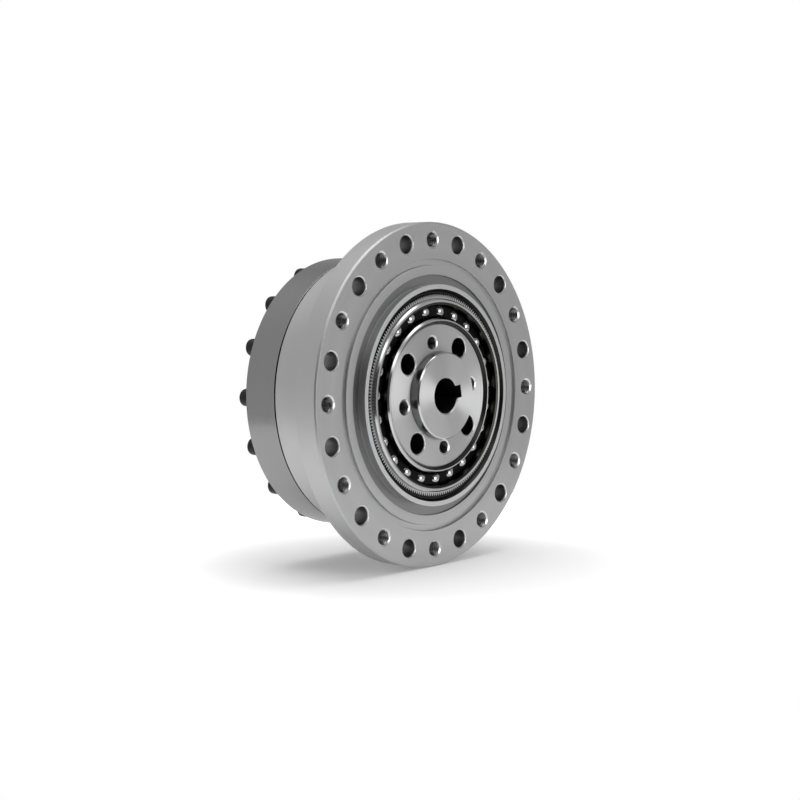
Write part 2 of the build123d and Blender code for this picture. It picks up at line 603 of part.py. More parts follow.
def crossed_rollers(lean):
    """Every second roller of the output bearing: those that lean one way."""
    roller = extrude(RegularPolygon(ROLLER_RADIUS, ROLLER_SIDES), ROLLER_LENGTH / 2, both=True)
    first = 0 if lean > 0 else 1
    rollers = []
    for index in range(first, ROLLER_COUNT, 2):
        turn = math.radians(360 * index / ROLLER_COUNT)
        outwards = Vector(math.cos(turn), 0, math.sin(turn))
        centre = outwards * ROLLER_CIRCLE_RADIUS + Vector(0, ROLLER_CENTRE, 0)
        rollers.append(Plane(origin=centre, z_dir=outwards + Vector(0, lean, 0)) * roller)
    return rollers


def roller_spacers():
    """The thin discs that keep neighbouring rollers apart."""
    disc = extrude(RegularPolygon(SPACER_RADIUS, SPACER_SIDES), SPACER_THICKNESS / 2, both=True)
    spacers = []
    for index in range(ROLLER_COUNT):
        turn = math.radians(360 * (index + 0.5) / ROLLER_COUNT)
        centre = Vector(math.cos(turn), 0, math.sin(turn)) * ROLLER_CIRCLE_RADIUS
        along = Vector(-math.sin(turn), 0, math.cos(turn))
        spacers.append(Plane(origin=centre + Vector(0, ROLLER_CENTRE, 0), z_dir=along) * disc)
    return spacers


# Pieces that turn with the input

def cam_plug():
    """The elliptical plug with its keyed hub, four through holes and four tapped holes."""
    plug = waved_loft([
        (PLUG_RADIUS - FIT - PLUG_CHAMFER, WAVE, PLUG_FRONT),
        (PLUG_RADIUS - FIT, WAVE, PLUG_FRONT + PLUG_CHAMFER),
        (PLUG_RADIUS - FIT, WAVE, PLUG_END),
    ])
    plug += turned(
        (0, HUB_FRONT),
        (HUB_RADIUS - HUB_CHAMFER, HUB_FRONT),
        (HUB_RADIUS, HUB_FRONT + HUB_CHAMFER),
        (HUB_RADIUS, HUB_END - HUB_CHAMFER),
        (HUB_RADIUS - HUB_CHAMFER, HUB_END),
        (0, HUB_END),
    )
    mouth = BORE_RADIUS + BORE_CHAMFER
    plug -= turned((0, HUB_FRONT), (mouth, HUB_FRONT), (BORE_RADIUS, HUB_FRONT + BORE_CHAMFER),
                   (BORE_RADIUS, HUB_END - BORE_CHAMFER), (mouth, HUB_END), (0, HUB_END))
    key_slot = Pos(KEYWAY_REACH / 2, 0) * Rectangle(KEYWAY_REACH, KEYWAY_WIDTH)
    plug -= bar(Rot(Z=REST_TURN) * key_slot, HUB_FRONT, HUB_END)
    plug -= hole_circle(VENT_RADIUS, VENT_CIRCLE_RADIUS, VENT_COUNT,
                        REST_TURN + 180 / VENT_COUNT, PLUG_FRONT - CLEAR, PLUG_END + CLEAR)
    return plug - hole_circle(JACK_RADIUS, JACK_CIRCLE_RADIUS, JACK_COUNT, REST_TURN,
                              PLUG_FRONT - CLEAR, PLUG_END + CLEAR)


def wave_bearing_inner_race():
    """The thin inner race, pressed on the cam plug and bent by it."""
    shoulder = INNER_RACE_BOTTOM + WAVE_RACE_SHOULDER
    band = bar(waved(shoulder) - waved(PLUG_RADIUS), WAVE_RACE_FRONT, WAVE_RACE_END)
    band -= race_chamfer(PLUG_RADIUS, INNER_RACE_CHAMFER, WAVE_RACE_FRONT, 1)
    band -= race_chamfer(PLUG_RADIUS, INNER_RACE_CHAMFER, WAVE_RACE_END, -1)
    groove = bar(waved(shoulder + CLEAR), BALL_CENTRE - GROOVE_HALF_MOUTH, BALL_CENTRE + GROOVE_HALF_MOUTH)
    return band - (groove - groove_cutter(shoulder, INNER_RACE_BOTTOM - RUNNING_GAP))


PIECES = {
    "circular_spline_flange": circular_spline_flange,
    "joint_o_ring": joint_o_ring,
    "outer_race_ring": outer_race,
    "output_shaft_seal": output_shaft_seal,
    "body_screws": body_screws,
    "output_flange": output_flange,
    "front_race_ring": front_race,
    "front_race_screws": front_race_screws,
    "flexspline": flexspline,
    "clamp_ring": clamp_ring,
    "clamp_screws": clamp_screws,
    "dowel_pins": dowels,
    "wave_bearing_outer_race": wave_bearing_outer_race,
    "wave_bearing_balls": wave_bearing_balls,
    "wave_bearing_cage": wave_bearing_cage,
    "wave_bearing_inner_race": wave_bearing_inner_race,
    "crossed_rollers_leaning_back": lambda: crossed_rollers(1),
    "crossed_rollers_leaning_front": lambda: crossed_rollers(-1),
    "roller_spacers": roller_spacers,
    "cam_plug": cam_plug,
}

os.makedirs("parts", exist_ok=True)
for name, make in PIECES.items():
    made = make()
    piece = Compound(children=made) if isinstance(made, list) else made
    export_step(piece, f"parts/{name}.step")
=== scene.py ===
"""Looks of a housed strain wave gear unit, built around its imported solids.

The gear axis is Y, the input side faces -Y and +Z is up. Sizes in the classes are
millimetres, and every mesh is written in metres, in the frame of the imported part.
A depth is a place along the gear axis, counted from the flange's front face.
"""

import logging
import math
from dataclasses import dataclass
from enum import Enum
from typing import Callable, Iterable, Sequence

import bmesh
import bpy
from mathutils import Matrix, Vector


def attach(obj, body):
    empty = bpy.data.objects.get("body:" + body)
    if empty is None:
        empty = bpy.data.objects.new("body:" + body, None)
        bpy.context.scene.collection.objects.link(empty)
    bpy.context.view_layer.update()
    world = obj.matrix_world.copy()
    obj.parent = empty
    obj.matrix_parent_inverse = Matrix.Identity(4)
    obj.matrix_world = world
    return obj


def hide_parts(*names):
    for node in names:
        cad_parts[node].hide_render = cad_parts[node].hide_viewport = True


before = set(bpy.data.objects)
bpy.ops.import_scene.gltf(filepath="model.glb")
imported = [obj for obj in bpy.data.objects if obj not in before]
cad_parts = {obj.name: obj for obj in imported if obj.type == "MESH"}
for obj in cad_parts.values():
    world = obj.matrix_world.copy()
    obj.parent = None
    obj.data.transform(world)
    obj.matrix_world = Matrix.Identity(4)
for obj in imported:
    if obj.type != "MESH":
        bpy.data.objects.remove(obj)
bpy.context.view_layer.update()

MM = 0.001
MERGE_DISTANCE = 1e-7
NO_LENGTH = 1e-8
LOG = logging.getLogger("strain_wave_gear")

Point = tuple[float, float]
Place = tuple[float, float, float]
Bend = Callable[[float, float, float], float]
FaceTest = Callable[[bpy.types.MeshPolygon], bool]


class Body(Enum):
    """The moving bodies that a piece can ride on."""

    HOUSING = "housing"
    WAVE_GENERATOR = "wave_generator"
    BALL_SET = "ball_set"
    OUTPUT = "output"
    ROLLER_SET = "roller_set"


class Slot(Enum):
    """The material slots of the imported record."""

    FLANGE = "flange_steel"
    RACE = "race_steel"
    SPRING = "spring_steel"
    PLUG = "plug_steel"
    BALL = "ball_steel"
    SCREW = "black_screws"
    RUBBER = "seal_rubber"
    CAGE = "cage_plastic"


class Trim(Enum):
    """Finishes of single faces, beside a piece's main material; several of them are painted shade,
    a painted reflection or painted highlights.
    """

    BORED = "bored_wall"
    GREASED = "greased_steel"
    POLISHED = "polished_wall"
    LAPPED = "lapped_face"
    SUNK = "sunk_face"
    DRILLED = "drilled_wall"
    TAPPED = "tapped_wall"
    MOUTH = "hole_mouth"
    EDGE = "bright_edge"
    FACED = "faced_rim"
    TURNED = "turned_rim"
    REAR_RING = "turned_ring"


# Sizes that more than one piece follows


@dataclass(frozen=True)
class Wave:
    """The ellipse that the cam plug gives to the thin pieces around it.

    Attributes:
        lift: How far the long axis stands out, and the short axis in, in millimetres.
        turn: The long axis's angle at rest, in degrees from +X towards +Z.
        pitch_radius: The radius at which the rim keeps its length, in millimetres.
    """

    lift: float = 0.3125
    turn: float = 9.5
    pitch_radius: float = 31.25

    def radius(self, radius: float, angle: float, share: float = 1.0) -> float:
        """The bent radius at an angle in radians, for a share of the full wave."""
        return radius + share * self.lift * math.cos(2 * (angle - math.radians(self.turn)))

    def full(self, radius: float, angle: float, y: float) -> float:
        """The bend of a piece that takes the whole wave at every depth."""
        return self.radius(radius, angle)


@dataclass(frozen=True)
class Joint:
    """The joint between the body and the rear ring, with the narrow slot turned round it.

    Attributes:
        depth: The joint's depth.
        half_slot: Half the slot's width.
        slot_floor: The radius at the slot's floor.
        pilot_radius: The radius of the body's bore, which centres the rear ring.
        pilot_length: The length of that bore.
    """

    depth: float = 26.7
    half_slot: float = 0.3
    slot_floor: float = 42.0
    pilot_radius: float = 37.9
    pilot_length: float = 2.0


@dataclass(frozen=True)
class RollerTrack:
    """The track with the section of a V that the crossed rollers run in.

    Attributes:
        depth: The depth of its middle.
        cut: How far it cuts into each race, which is also half its width.
    """

    depth: float = 33.1
    cut: float = 3.18


WAVE = Wave()
JOINT = Joint()
TRACK = RollerTrack()


# Meshes: turned shapes, holes and cleaning up


def polar(radius: float, angle: float, y: float) -> Place:
    """A point in metres from a radius, an angle in radians and a depth in millimetres."""
    return (radius * math.cos(angle) * MM, y * MM, radius * math.sin(angle) * MM)


def softened(
    corners: Sequence[Point], fillet: float, steps: int = 3, edge_share: float = 0.45
) -> list[Point]:
    """Rounds each corner of a closed outline.

    Args:
        corners: The outline's (radius, y) corners in order.
        fillet: The rounding radius, cut short where an edge is too small for it.
        steps: How many edges make up one rounded corner.
        edge_share: The most of an edge that one corner's rounding may take.

    Returns:
        The outline with an arc in place of each corner.
    """
    outline: list[Point] = []
    count = len(corners)
    for index in range(count):
        here = Vector(corners[index])
        before = Vector(corners[index - 1]) - here
        after = Vector(corners[(index + 1) % count]) - here
        tangent = fillet / math.tan(before.angle(after) / 2)
        setback = min(tangent, edge_share * before.length, edge_share * after.length)
        start = here + before.normalized() * setback
        end = here + after.normalized() * setback
        for step in range(steps + 1):
            share = step / steps
            bend = start.lerp(here, share).lerp(here.lerp(end, share), share)
            outline.append((bend.x, bend.y))
    return outline


def mesh_object(name: str, mesh: bpy.types.Mesh) -> bpy.types.Object:
    """Links a mesh to the scene as an object at the origin."""
    thing = bpy.data.objects.new(name, mesh)
    bpy.context.scene.collection.objects.link(thing)
    return thing


def written(name: str, shape: bmesh.types.BMesh) -> bpy.types.Object:
    """Writes a bmesh as it is into a new linked object."""
    mesh = bpy.data.meshes.new(name)
    shape.to_mesh(mesh)
    shape.free()
    return mesh_object(name, mesh)


def object_from(name: str, shape: bmesh.types.BMesh) -> bpy.types.Object:
    """Turns a bmesh into a linked object with merged points and outward normals."""
    bmesh.ops.remove_doubles(shape, verts=shape.verts, dist=MERGE_DISTANCE)
    bmesh.ops.recalc_face_normals(shape, faces=shape.faces)
    return written(name, shape)


def turned(
    name: str, outline: Sequence[Point], segments: int = 256, bend: Bend | None = None
) -> bpy.types.Object:
    """Turns a closed outline about the gear axis.

    Args:
        name: The new object's name.
        outline: Closed (radius, y) outline; points at radius 0 lie on the axis.
        segments: How many steps go once round.
        bend: Gives the bent radius from (radius, angle, y), or None for a round piece.

    Returns:
        The turned object.
    """
    shape = bmesh.new()
    rings = []
    for step in range(segments):
        angle = 2 * math.pi * step / segments
        ring = []
        for radius, y in outline:
            bent = bend(radius, angle, y) if bend and radius > 0 else radius
            ring.append(shape.verts.new(polar(bent, angle, y)))
        rings.append(ring)
    count = len(outline)
    for step in range(segments):
        here, after = rings[step], rings[(step + 1) % segments]
        for index in range(count):
            nxt = (index + 1) % count
            if outline[index][0] == 0 and outline[nxt][0] == 0:
                continue
            shape.faces.new((here[index], here[nxt], after[nxt], after[index]))
    bmesh.ops.remove_doubles(shape, verts=shape.verts, dist=MERGE_DISTANCE)
    bmesh.ops.dissolve_degenerate(shape, dist=NO_LENGTH, edges=shape.edges)
    return object_from(name, shape)


def lofted(name: str, rings: Sequence[Sequence[Place]]) -> bpy.types.Object:
    """Lays a skin over rings of the same number of points, with a flat cap at both ends.

    Args:
        name: The new object's name.
        rings: The rings in order, each a row of points in metres.

    Returns:
        The closed object.
    """
    shape = bmesh.new()
    skin = [[shape.verts.new(point) for point in ring] for ring in rings]
    for lower, upper in zip(skin, skin[1:]):
        for index in range(len(lower)):
            nxt = (index + 1) % len(lower)
            shape.faces.new((lower[index], lower[nxt], upper[nxt], upper[index]))
    shape.faces.new(skin[0])
    shape.faces.new(skin[-1])
    return object_from(name, shape)


def bar(name: str, section: Sequence[Point], front: float, end: float) -> bpy.types.Object:
    """A straight bar along the gear axis.

    Args:
        name: The object's name.
        section: Its cross-section as (outwards, sideways) points about its own place.
        front: The depth of its front face.
        end: The depth of its rear face.

    Returns:
        The bar, standing on the gear axis with its outward side along +X.
    """
    return lofted(
        name, [[(out * MM, y * MM, side * MM) for out, side in section] for y in (front, end)]
    )


def both_flanks(flank: Sequence[Point]) -> list[Point]:
    """A tooth's whole section from one flank, mirrored about the tooth's middle."""
    return [*flank, *((out, -side) for out, side in reversed(flank))]


def keep_result(thing: bpy.types.Object) -> bpy.types.Object:
    """Gives an object the mesh that its modifiers make, and clears them."""
    bpy.context.view_layer.update()
    graph = bpy.context.evaluated_depsgraph_get()
    mesh = bpy.data.meshes.new_from_object(thing.evaluated_get(graph), depsgraph=graph)
    thing.modifiers.clear()
    thing.data = mesh
    return thing


def with_modifier(thing: bpy.types.Object, kind: str, **settings: object) -> bpy.types.Object:
    """Applies one modifier to an object for good.

    Args:
        thing: The object to change.
        kind: The modifier's type.
        settings: The modifier's properties by name.

    Returns:
        The same object with its new mesh.
    """
    modifier = thing.modifiers.new(kind.lower(), kind)
    for key, value in settings.items():
        setattr(modifier, key, value)
    return keep_result(thing)


def smooth(thing: bpy.types.Object) -> None:
    """Shades every face of a piece smooth."""
    for polygon in thing.data.polygons:
        polygon.use_smooth = True


def shaded(thing: bpy.types.Object, sharp_angle: float = 38.0) -> bpy.types.Object:
    """Shades a piece smooth up to an angle in degrees and keeps its flat faces flat."""
    smooth(thing)
    thing.data.set_sharp_from_angle(angle=math.radians(sharp_angle))
    return with_modifier(thing, "WEIGHTED_NORMAL", mode="FACE_AREA", weight=80, keep_sharp=True)


def joined(name: str, things: Iterable[bpy.types.Object]) -> bpy.types.Object:
    """Joins objects at the origin into one object."""
    shape = bmesh.new()
    for thing in list(things):
        shape.from_mesh(thing.data)
        bpy.data.objects.remove(thing)
    return written(name, shape)


def cut(thing: bpy.types.Object, cutters: Iterable[bpy.types.Object]) -> bpy.types.Object:
    """Takes cutters that don't touch each other out of a piece.

    Args:
        thing: The piece.
        cutters: Closed objects, which are used up.

    Returns:
        The piece with the cutters' space open.
    """
    tool = joined("cutter", cutters)
    with_modifier(thing, "BOOLEAN", operation="DIFFERENCE", solver="EXACT", object=tool)
    bpy.data.objects.remove(tool)
    return thing


def around(circle_radius: float, count: int, first: float = 0.0) -> list[Matrix]:
    """Places on a circle about the gear axis, each turned to face outwards.

    Args:
        circle_radius: The circle's radius in millimetres.
        count: How many places.
        first: The first place's angle in degrees.

    Returns:
        One matrix for each place, with its local X pointing outwards.
    """
    places = []
    for index in range(count):
        angle = math.radians(first + 360 * index / count)
        shift = Matrix.Translation(polar(circle_radius, angle, 0))
        places.append(shift @ Matrix.Rotation(-angle, 4, "Y"))
    return places


def copies(name: str, original: bpy.types.Object, places: Iterable[Matrix]) -> bpy.types.Object:
    """Replaces an object by copies of it at the places, joined into one mesh."""
    things = []
    for place in places:
        mesh = original.data.copy()
        mesh.transform(place)
        things.append(mesh_object(name + "_copy", mesh))
    bpy.data.objects.remove(original)
    return joined(name, things)


def drill(radius: float, front: float, end: float, mouth: float) -> bpy.types.Object:
    """A cutter for a round through hole along the gear axis, with rounded mouths.

    Args:
        radius: The hole's radius.
        front: The depth of the face that it starts from.
        end: The depth of the face where it ends.
        mouth: The width of the mouths.

    Returns:
        The cutter, centred on the gear axis.
    """
    over, slope = 0.3, 0.466
    # The mouth's curve in shares of its width, outwards and along the axis.
    beyond = (1.0 + over / (slope * mouth), -over / mouth)
    rounded = [beyond, (0.5, slope / 2), (0.18, 0.5), (0.0, 0.95)]
    outline = [(0, front - over)]
    outline += [(radius + mouth * out, front + mouth * deep) for out, deep in rounded]
    outline += [(radius + mouth * out, end - mouth * deep) for out, deep in reversed(rounded)]
    outline.append((0, end + over))
    return turned("drill", outline, segments=48)


def tap(
    radius: float, thread: float, pitch: float, front: float, end: float, mouth: float = 0.5
) -> bpy.types.Object:
    """A cutter for a tapped hole, with its helical thread.

    Args:
        radius: The thread's inner radius.
        thread: How far the thread reaches outwards.
        pitch: The thread's pitch.
        front: The depth of the face that it starts from.
        end: The depth where it ends.
        mouth: The chamfer at both mouths.

    Returns:
        The cutter, centred on the gear axis.
    """
    turns, rows_per_pitch, over, steepness = 32, 6, 0.5, 2.1
    rows = round((end - front) / pitch * rows_per_pitch)

    def wall(angle: float, y: float) -> float:
        """The thread's radius at an angle and a depth, with its mouths run out."""
        phase = (y / pitch - angle / (2 * math.pi)) % 1.0
        ridge = radius + thread * (1 - abs(2 * phase - 1))
        nearest = min(y - front, end - y)
        return max(ridge, radius + thread + mouth - steepness * nearest)

    depths = [front - over] + [front + (end - front) * row / rows for row in range(rows + 1)]
    depths.append(end + over)
    angles = [2 * math.pi * step / turns for step in range(turns)]
    rings = []
    for y in depths:
        inside = min(max(y, front), end)
        beyond = over if y != inside else 0.0
        rings.append([polar(wall(angle, inside) + beyond, angle, y) for angle in angles])
    return lofted("tap", rings)


# Tests for the faces that a finish goes on, by how far their normals point along the axis

FLAT = 0.9
CHAMFER = 0.3
MOUTH_LOW, MOUTH_HIGH = 0.86, 0.935


def reach(face: bpy.types.MeshPolygon) -> float:
    """How far a face's middle lies from the gear axis, in millimetres."""
    return math.hypot(face.center.x, face.center.z) / MM


def depth(face: bpy.types.MeshPolygon) -> float:
    """How deep a face's middle lies along the gear axis, in millimetres."""
    return face.center.y / MM


def is_front(face: bpy.types.MeshPolygon, level: float = FLAT) -> bool:
    """Whether a face looks straight towards the input side."""
    return face.normal.y < -level


def is_front_edge(face: bpy.types.MeshPolygon) -> bool:
    """Whether a face leans towards the input side, as a chamfer's does."""
    return -FLAT < face.normal.y < -CHAMFER


def is_mouth(face: bpy.types.MeshPolygon) -> bool:
    """Whether a face leans as slightly as the rim of a hole's rounded mouth."""
    return MOUTH_LOW < abs(face.normal.y) < MOUTH_HIGH


def is_wall(face: bpy.types.MeshPolygon, level: float = FLAT) -> bool:
    """Whether a face stands along the gear axis, more or less."""
    return abs(face.normal.y) < level


def is_any(face: bpy.types.MeshPolygon) -> bool:
    """Takes every face."""
    return True


def front_edge(end: float, radius: float) -> FaceTest:
    """A test for chamfers that lie before a depth and outside a radius."""
    return lambda face: is_front_edge(face) and depth(face) < end and reach(face) > radius


@dataclass(frozen=True)
class HoleCircle:
    """Like holes along the gear axis, on a circle about it.

    Attributes:
        radius: A plain hole's radius, or a thread's inner radius.
        circle: The circle's radius.
        count: How many holes.
        first: The first hole's angle in degrees.
        mouth: The width of a plain hole's rounded mouths.
        thread: How far a thread reaches outwards; a plain hole has none.
        pitch: The thread's pitch.
    """

    radius: float
    circle: float
    count: int
    first: float = 0.0
    mouth: float = 0.4
    thread: float = 0.0
    pitch: float = 1.0

    def cutters(self, front: float, end: float) -> bpy.types.Object:
        """The cutters for all the holes, from one depth to another."""
        if self.thread:
            hole = tap(self.radius, self.thread, self.pitch, front, end)
        else:
            hole = drill(self.radius, front, end, self.mouth)
        return copies("holes", hole, around(self.circle, self.count, self.first))

    def is_inside(self, face: bpy.types.MeshPolygon) -> bool:
        """Whether a face lies on the wall of one of the holes."""
        if abs(face.normal.y) > FLAT:
            return False
        step = 2 * math.pi / self.count
        angle = math.atan2(face.center.z, face.center.x) - math.radians(self.first)
        off_middle = angle - step * round(angle / step)
        outward = reach(face) * math.cos(off_middle) - self.circle
        sideways = reach(face) * math.sin(off_middle)
        margin = 0.05 if self.thread else 0.02
        return math.hypot(outward, sideways) < self.radius + self.thread + margin


# Shader node groups that several finishes share

GROUPS: dict[str, bpy.types.NodeTree] = {}


def node_group(name: str, inputs: dict[str, float], outputs: Sequence[str]) -> bpy.types.NodeTree:
    """A new shader group with a Vector input, float inputs and float outputs."""
    tree = bpy.data.node_groups.new(name, "ShaderNodeTree")
    tree.interface.new_socket("Vector", in_out="INPUT", socket_type="NodeSocketVector")
    for key, value in inputs.items():
        socket = tree.interface.new_socket(key, in_out="INPUT", socket_type="NodeSocketFloat")
        socket.default_value = value
    for key in outputs:
        tree.interface.new_socket(key, in_out="OUTPUT", socket_type="NodeSocketFloat")
    return tree


class Graph:
    """A node tree with short ways to add nodes and link them."""

    def __init__(self, tree: bpy.types.NodeTree) -> None:
        """Keeps the tree that is built."""
        self.tree = tree

    def node(self, kind: str, **settings: object) -> bpy.types.Node:
        """Adds a node of a type and sets its properties."""
        made = self.tree.nodes.new(kind)
        for key, value in settings.items():
            setattr(made, key, value)
        return made

    def feed(self, socket: bpy.types.NodeSocket, value: object) -> None:
        """Links another node's output to a socket, or sets the socket's own value."""
        if isinstance(value, bpy.types.NodeSocket):
            self.tree.links.new(value, socket)
        else:
            socket.default_value = value

    def fed(self, node: bpy.types.Node, values: dict[str | int, object]) -> bpy.types.Node:
        """Feeds several of a node's inputs by name or number, and gives the node back."""
        for key, value in values.items():
            self.feed(node.inputs[key], value)
        return node

    def math(self, operation: str, *values: object) -> bpy.types.NodeSocket:
        """A math node on its inputs, and its output socket."""
        made = self.node("ShaderNodeMath", operation=operation)
        return self.fed(made, dict(enumerate(values))).outputs[0]

    def vector(self, operation: str, output: str, *values: object) -> bpy.types.NodeSocket:
        """A vector math node on its inputs, and the named output socket."""
        made = self.node("ShaderNodeVectorMath", operation=operation)
        return self.fed(made, dict(enumerate(values))).outputs[output]

    def spread(self, value: object, low: float, high: float) -> bpy.types.NodeSocket:
        """Maps a value from 0..1 to low..high."""
        made = self.node("ShaderNodeMapRange", clamp=True)
        return self.fed(made, {"Value": value, "To Min": low, "To Max": high}).outputs["Result"]

    def fade(
        self, value: object, start: object, end: object, low: float = 0.0, high: float = 1.0
    ) -> bpy.types.NodeSocket:
        """Goes softly from low at the start to high at the end."""
        made = self.node("ShaderNodeMapRange", interpolation_type="SMOOTHSTEP")
        ends = {"Value": value, "From Min": start, "From Max": end, "To Min": low, "To Max": high}
        return self.fed(made, ends).outputs["Result"]

    def mix(self, share: object, low: object, high: object) -> bpy.types.NodeSocket:
        """Blends two numbers by a share of the second."""
        made = self.node("ShaderNodeMix", data_type="FLOAT")
        return self.fed(made, {"Factor": share, "A": low, "B": high}).outputs["Result"]

    def noise(
        self, place: bpy.types.NodeSocket, scale: object, detail: float, distortion: float = 0.0
    ) -> bpy.types.NodeSocket:
        """Noise along a line where the place is a number, and in space where it is a point."""
        on_line = place.type == "VALUE"
        made = self.node("ShaderNodeTexNoise", noise_dimensions="1D" if on_line else "3D")
        values = {"W" if on_line else "Vector": place, "Scale": scale, "Detail": detail}
        return self.fed(made, {**values, "Distortion": distortion}).outputs["Fac"]

    def bump(self, height: object, strength: float, distance: float) -> bpy.types.NodeSocket:
        """A normal that follows a height, whose full step is a distance in metres."""
        made = self.node("ShaderNodeBump")
        values = {"Strength": strength, "Distance": distance, "Height": height}
        return self.fed(made, values).outputs["Normal"]

    def shared(self, name: str, values: dict[str, object]) -> bpy.types.Node:
        """Places a shared group with values of its own."""
        return self.fed(self.node("ShaderNodeGroup", node_tree=GROUPS[name]), values)


def turning_marks_group() -> bpy.types.NodeTree:
    """Fine rings about the gear axis, as a lathe tool leaves them.

    Returns:
        A group with the inputs Spacing and Along, and the outputs Height and Tone.
    """
    tree = node_group("turning_marks", {"Spacing": 0.00012, "Along": 0.35}, ("Height", "Tone"))
    graph = Graph(tree)
    given = graph.node("NodeGroupInput")
    result = graph.node("NodeGroupOutput")
    place = graph.fed(graph.node("ShaderNodeSeparateXYZ"), {0: given.outputs["Vector"]})
    square = graph.math(
        "ADD",
        graph.math("MULTIPLY", place.outputs[0], place.outputs[0]),
        graph.math("MULTIPLY", place.outputs[2], place.outputs[2]),
    )
    radius = graph.math("SQRT", square)
    along = graph.math("MULTIPLY", place.outputs[1], given.outputs["Along"])
    path = graph.math("DIVIDE", graph.math("ADD", radius, along), given.outputs["Spacing"])
    graph.feed(result.inputs["Height"], graph.noise(path, 1.0, 2.0))
    graph.feed(result.inputs["Tone"], graph.noise(path, 0.06, 1.0))
    return tree


def handling_group() -> bpy.types.NodeTree:
    """Soft smears and faint specks from handling and oil.

    Returns:
        A group with the inputs Scale and Specks, and the outputs Smear and Speck.
    """
    tree = node_group("handling", {"Scale": 60.0, "Specks": 900.0}, ("Smear", "Speck"))
    graph = Graph(tree)
    given = graph.node("NodeGroupInput")
    result = graph.node("NodeGroupOutput")
    place = given.outputs["Vector"]
    graph.feed(result.inputs["Smear"], graph.noise(place, given.outputs["Scale"], 4.0, 0.6))
    graph.feed(result.inputs["Speck"], graph.noise(place, given.outputs["Specks"], 2.0))
    return tree


# Finishes


def blank_material(name: str) -> tuple[bpy.types.Material, Graph, bpy.types.Node]:
    """A new material, with its graph and its surface shader."""
    made = bpy.data.materials.new(name)
    made.use_nodes = True
    return made, Graph(made.node_tree), made.node_tree.nodes["Principled BSDF"]


@dataclass(frozen=True)
class TurnedSteel:
    """Machined steel with fine turning marks and light handling smears.

    Attributes:
        name: The material's name.
        tone: Its grey, as the red, green and blue of its base colour.
        roughness: Its middle roughness.
        spread: How far smears and marks shift the roughness either way.
        anisotropic: How much the turning marks stretch highlights across them.
        bump: The height of the turning marks, in metres.
        spacing: The distance between turning marks, in metres.
        contrast: How far the broad rings shift the tone either way.
    """

    name: str
    tone: Place
    roughness: float
    spread: float = 0.05
    anisotropic: float = 0.0
    bump: float = 0.0000015
    spacing: float = 0.00018
    contrast: float = 0.03

    def material(self) -> bpy.types.Material:
        """Builds the material.

        Returns:
            A metal whose colour, roughness and bump follow the object's own coordinates.
        """
        made, graph, shader = blank_material(self.name)
        place = graph.node("ShaderNodeTexCoord").outputs["Object"]
        marks = graph.shared("turning_marks", {"Vector": place, "Spacing": self.spacing}).outputs
        smear = graph.shared("handling", {"Vector": place}).outputs["Smear"]
        rings = graph.spread(marks["Tone"], 1 - self.contrast, 1 + self.contrast)
        smears = graph.spread(smear, 1 - self.contrast, 1 + self.contrast)
        colour = graph.node("ShaderNodeVectorMath", operation="SCALE")
        graph.fed(colour, {0: self.tone, "Scale": graph.math("MULTIPLY", rings, smears)})
        mixed = graph.math("MULTIPLY", graph.math("ADD", smear, marks["Tone"]), 0.5)
        rough = graph.spread(mixed, self.roughness - self.spread, self.roughness + self.spread)
        values = {
            "Base Color": colour.outputs[0],
            "Roughness": rough,
            "Metallic": 1.0,
            "Normal": graph.bump(marks["Height"], 0.6, self.bump),
            "Anisotropic": self.anisotropic,
            "Anisotropic Rotation": 0.25,
            "Tangent": self.round_the_axis(graph, place),
        }
        graph.fed(shader, values)
        return made

    def round_the_axis(self, graph: Graph, place: bpy.types.NodeSocket) -> bpy.types.NodeSocket:
        """The direction of the turning marks, round the gear axis, in which highlights lie."""
        along = graph.vector("CROSS_PRODUCT", "Vector", (0.0, 1.0, 0.0), place)
        world = graph.node(
            "ShaderNodeVectorTransform",
            vector_type="VECTOR",
            convert_from="OBJECT",
            convert_to="WORLD",
        )
        return graph.fed(world, {0: along}).outputs[0]


@dataclass(frozen=True)
class PlainFinish:
    """A finish without turning marks: black oxide, rubber, moulded plastic or a polished ball.

    Attributes:
        name: The material's name.
        tone: Its base colour.
        roughness: Its middle roughness.
        metallic: 1 for metal and 0 for rubber or plastic.
        spread: How far smears shift the roughness either way.
        grain: The height of its fine grain, in metres.
        grain_scale: How fine the grain is.
        specular: The strength of its surface shine, where 0.5 is plain plastic.
    """

    name: str
    tone: Place
    roughness: float
    metallic: float = 0.0
    spread: float = 0.08
    grain: float = 0.00001
    grain_scale: float = 4000.0
    specular: float = 0.5

    def material(self) -> bpy.types.Material:
        """Builds the material from the shared handling group and its own grain."""
        made, graph, shader = blank_material(self.name)
        place = graph.node("ShaderNodeTexCoord").outputs["Object"]
        wear = graph.shared("handling", {"Vector": place, "Specks": self.grain_scale}).outputs
        colour = graph.node("ShaderNodeVectorMath", operation="SCALE")
        graph.fed(colour, {0: self.tone, "Scale": graph.spread(wear["Smear"], 0.75, 1.25)})
        low, high = self.roughness - self.spread, self.roughness + self.spread
        values = {
            "Base Color": colour.outputs[0],
            "Roughness": graph.spread(wear["Smear"], low, high),
            "Metallic": self.metallic,
            "Specular IOR Level": self.specular,
            "Normal": graph.bump(wear["Speck"], 0.5, self.grain),
        }
        graph.fed(shader, values)
        return made


def bare_steel(name: str, tone: Place, roughness: float, grain: float = 1e-6) -> PlainFinish:
    """Clean steel without turning marks, for small walls and edges; its tone is darkened on hole
    walls as painted shade and lightened on mouths and edges as painted highlights.
    """
    return PlainFinish(
        name, tone, roughness, metallic=1.0, spread=0.03, grain=grain, grain_scale=5000.0
    )


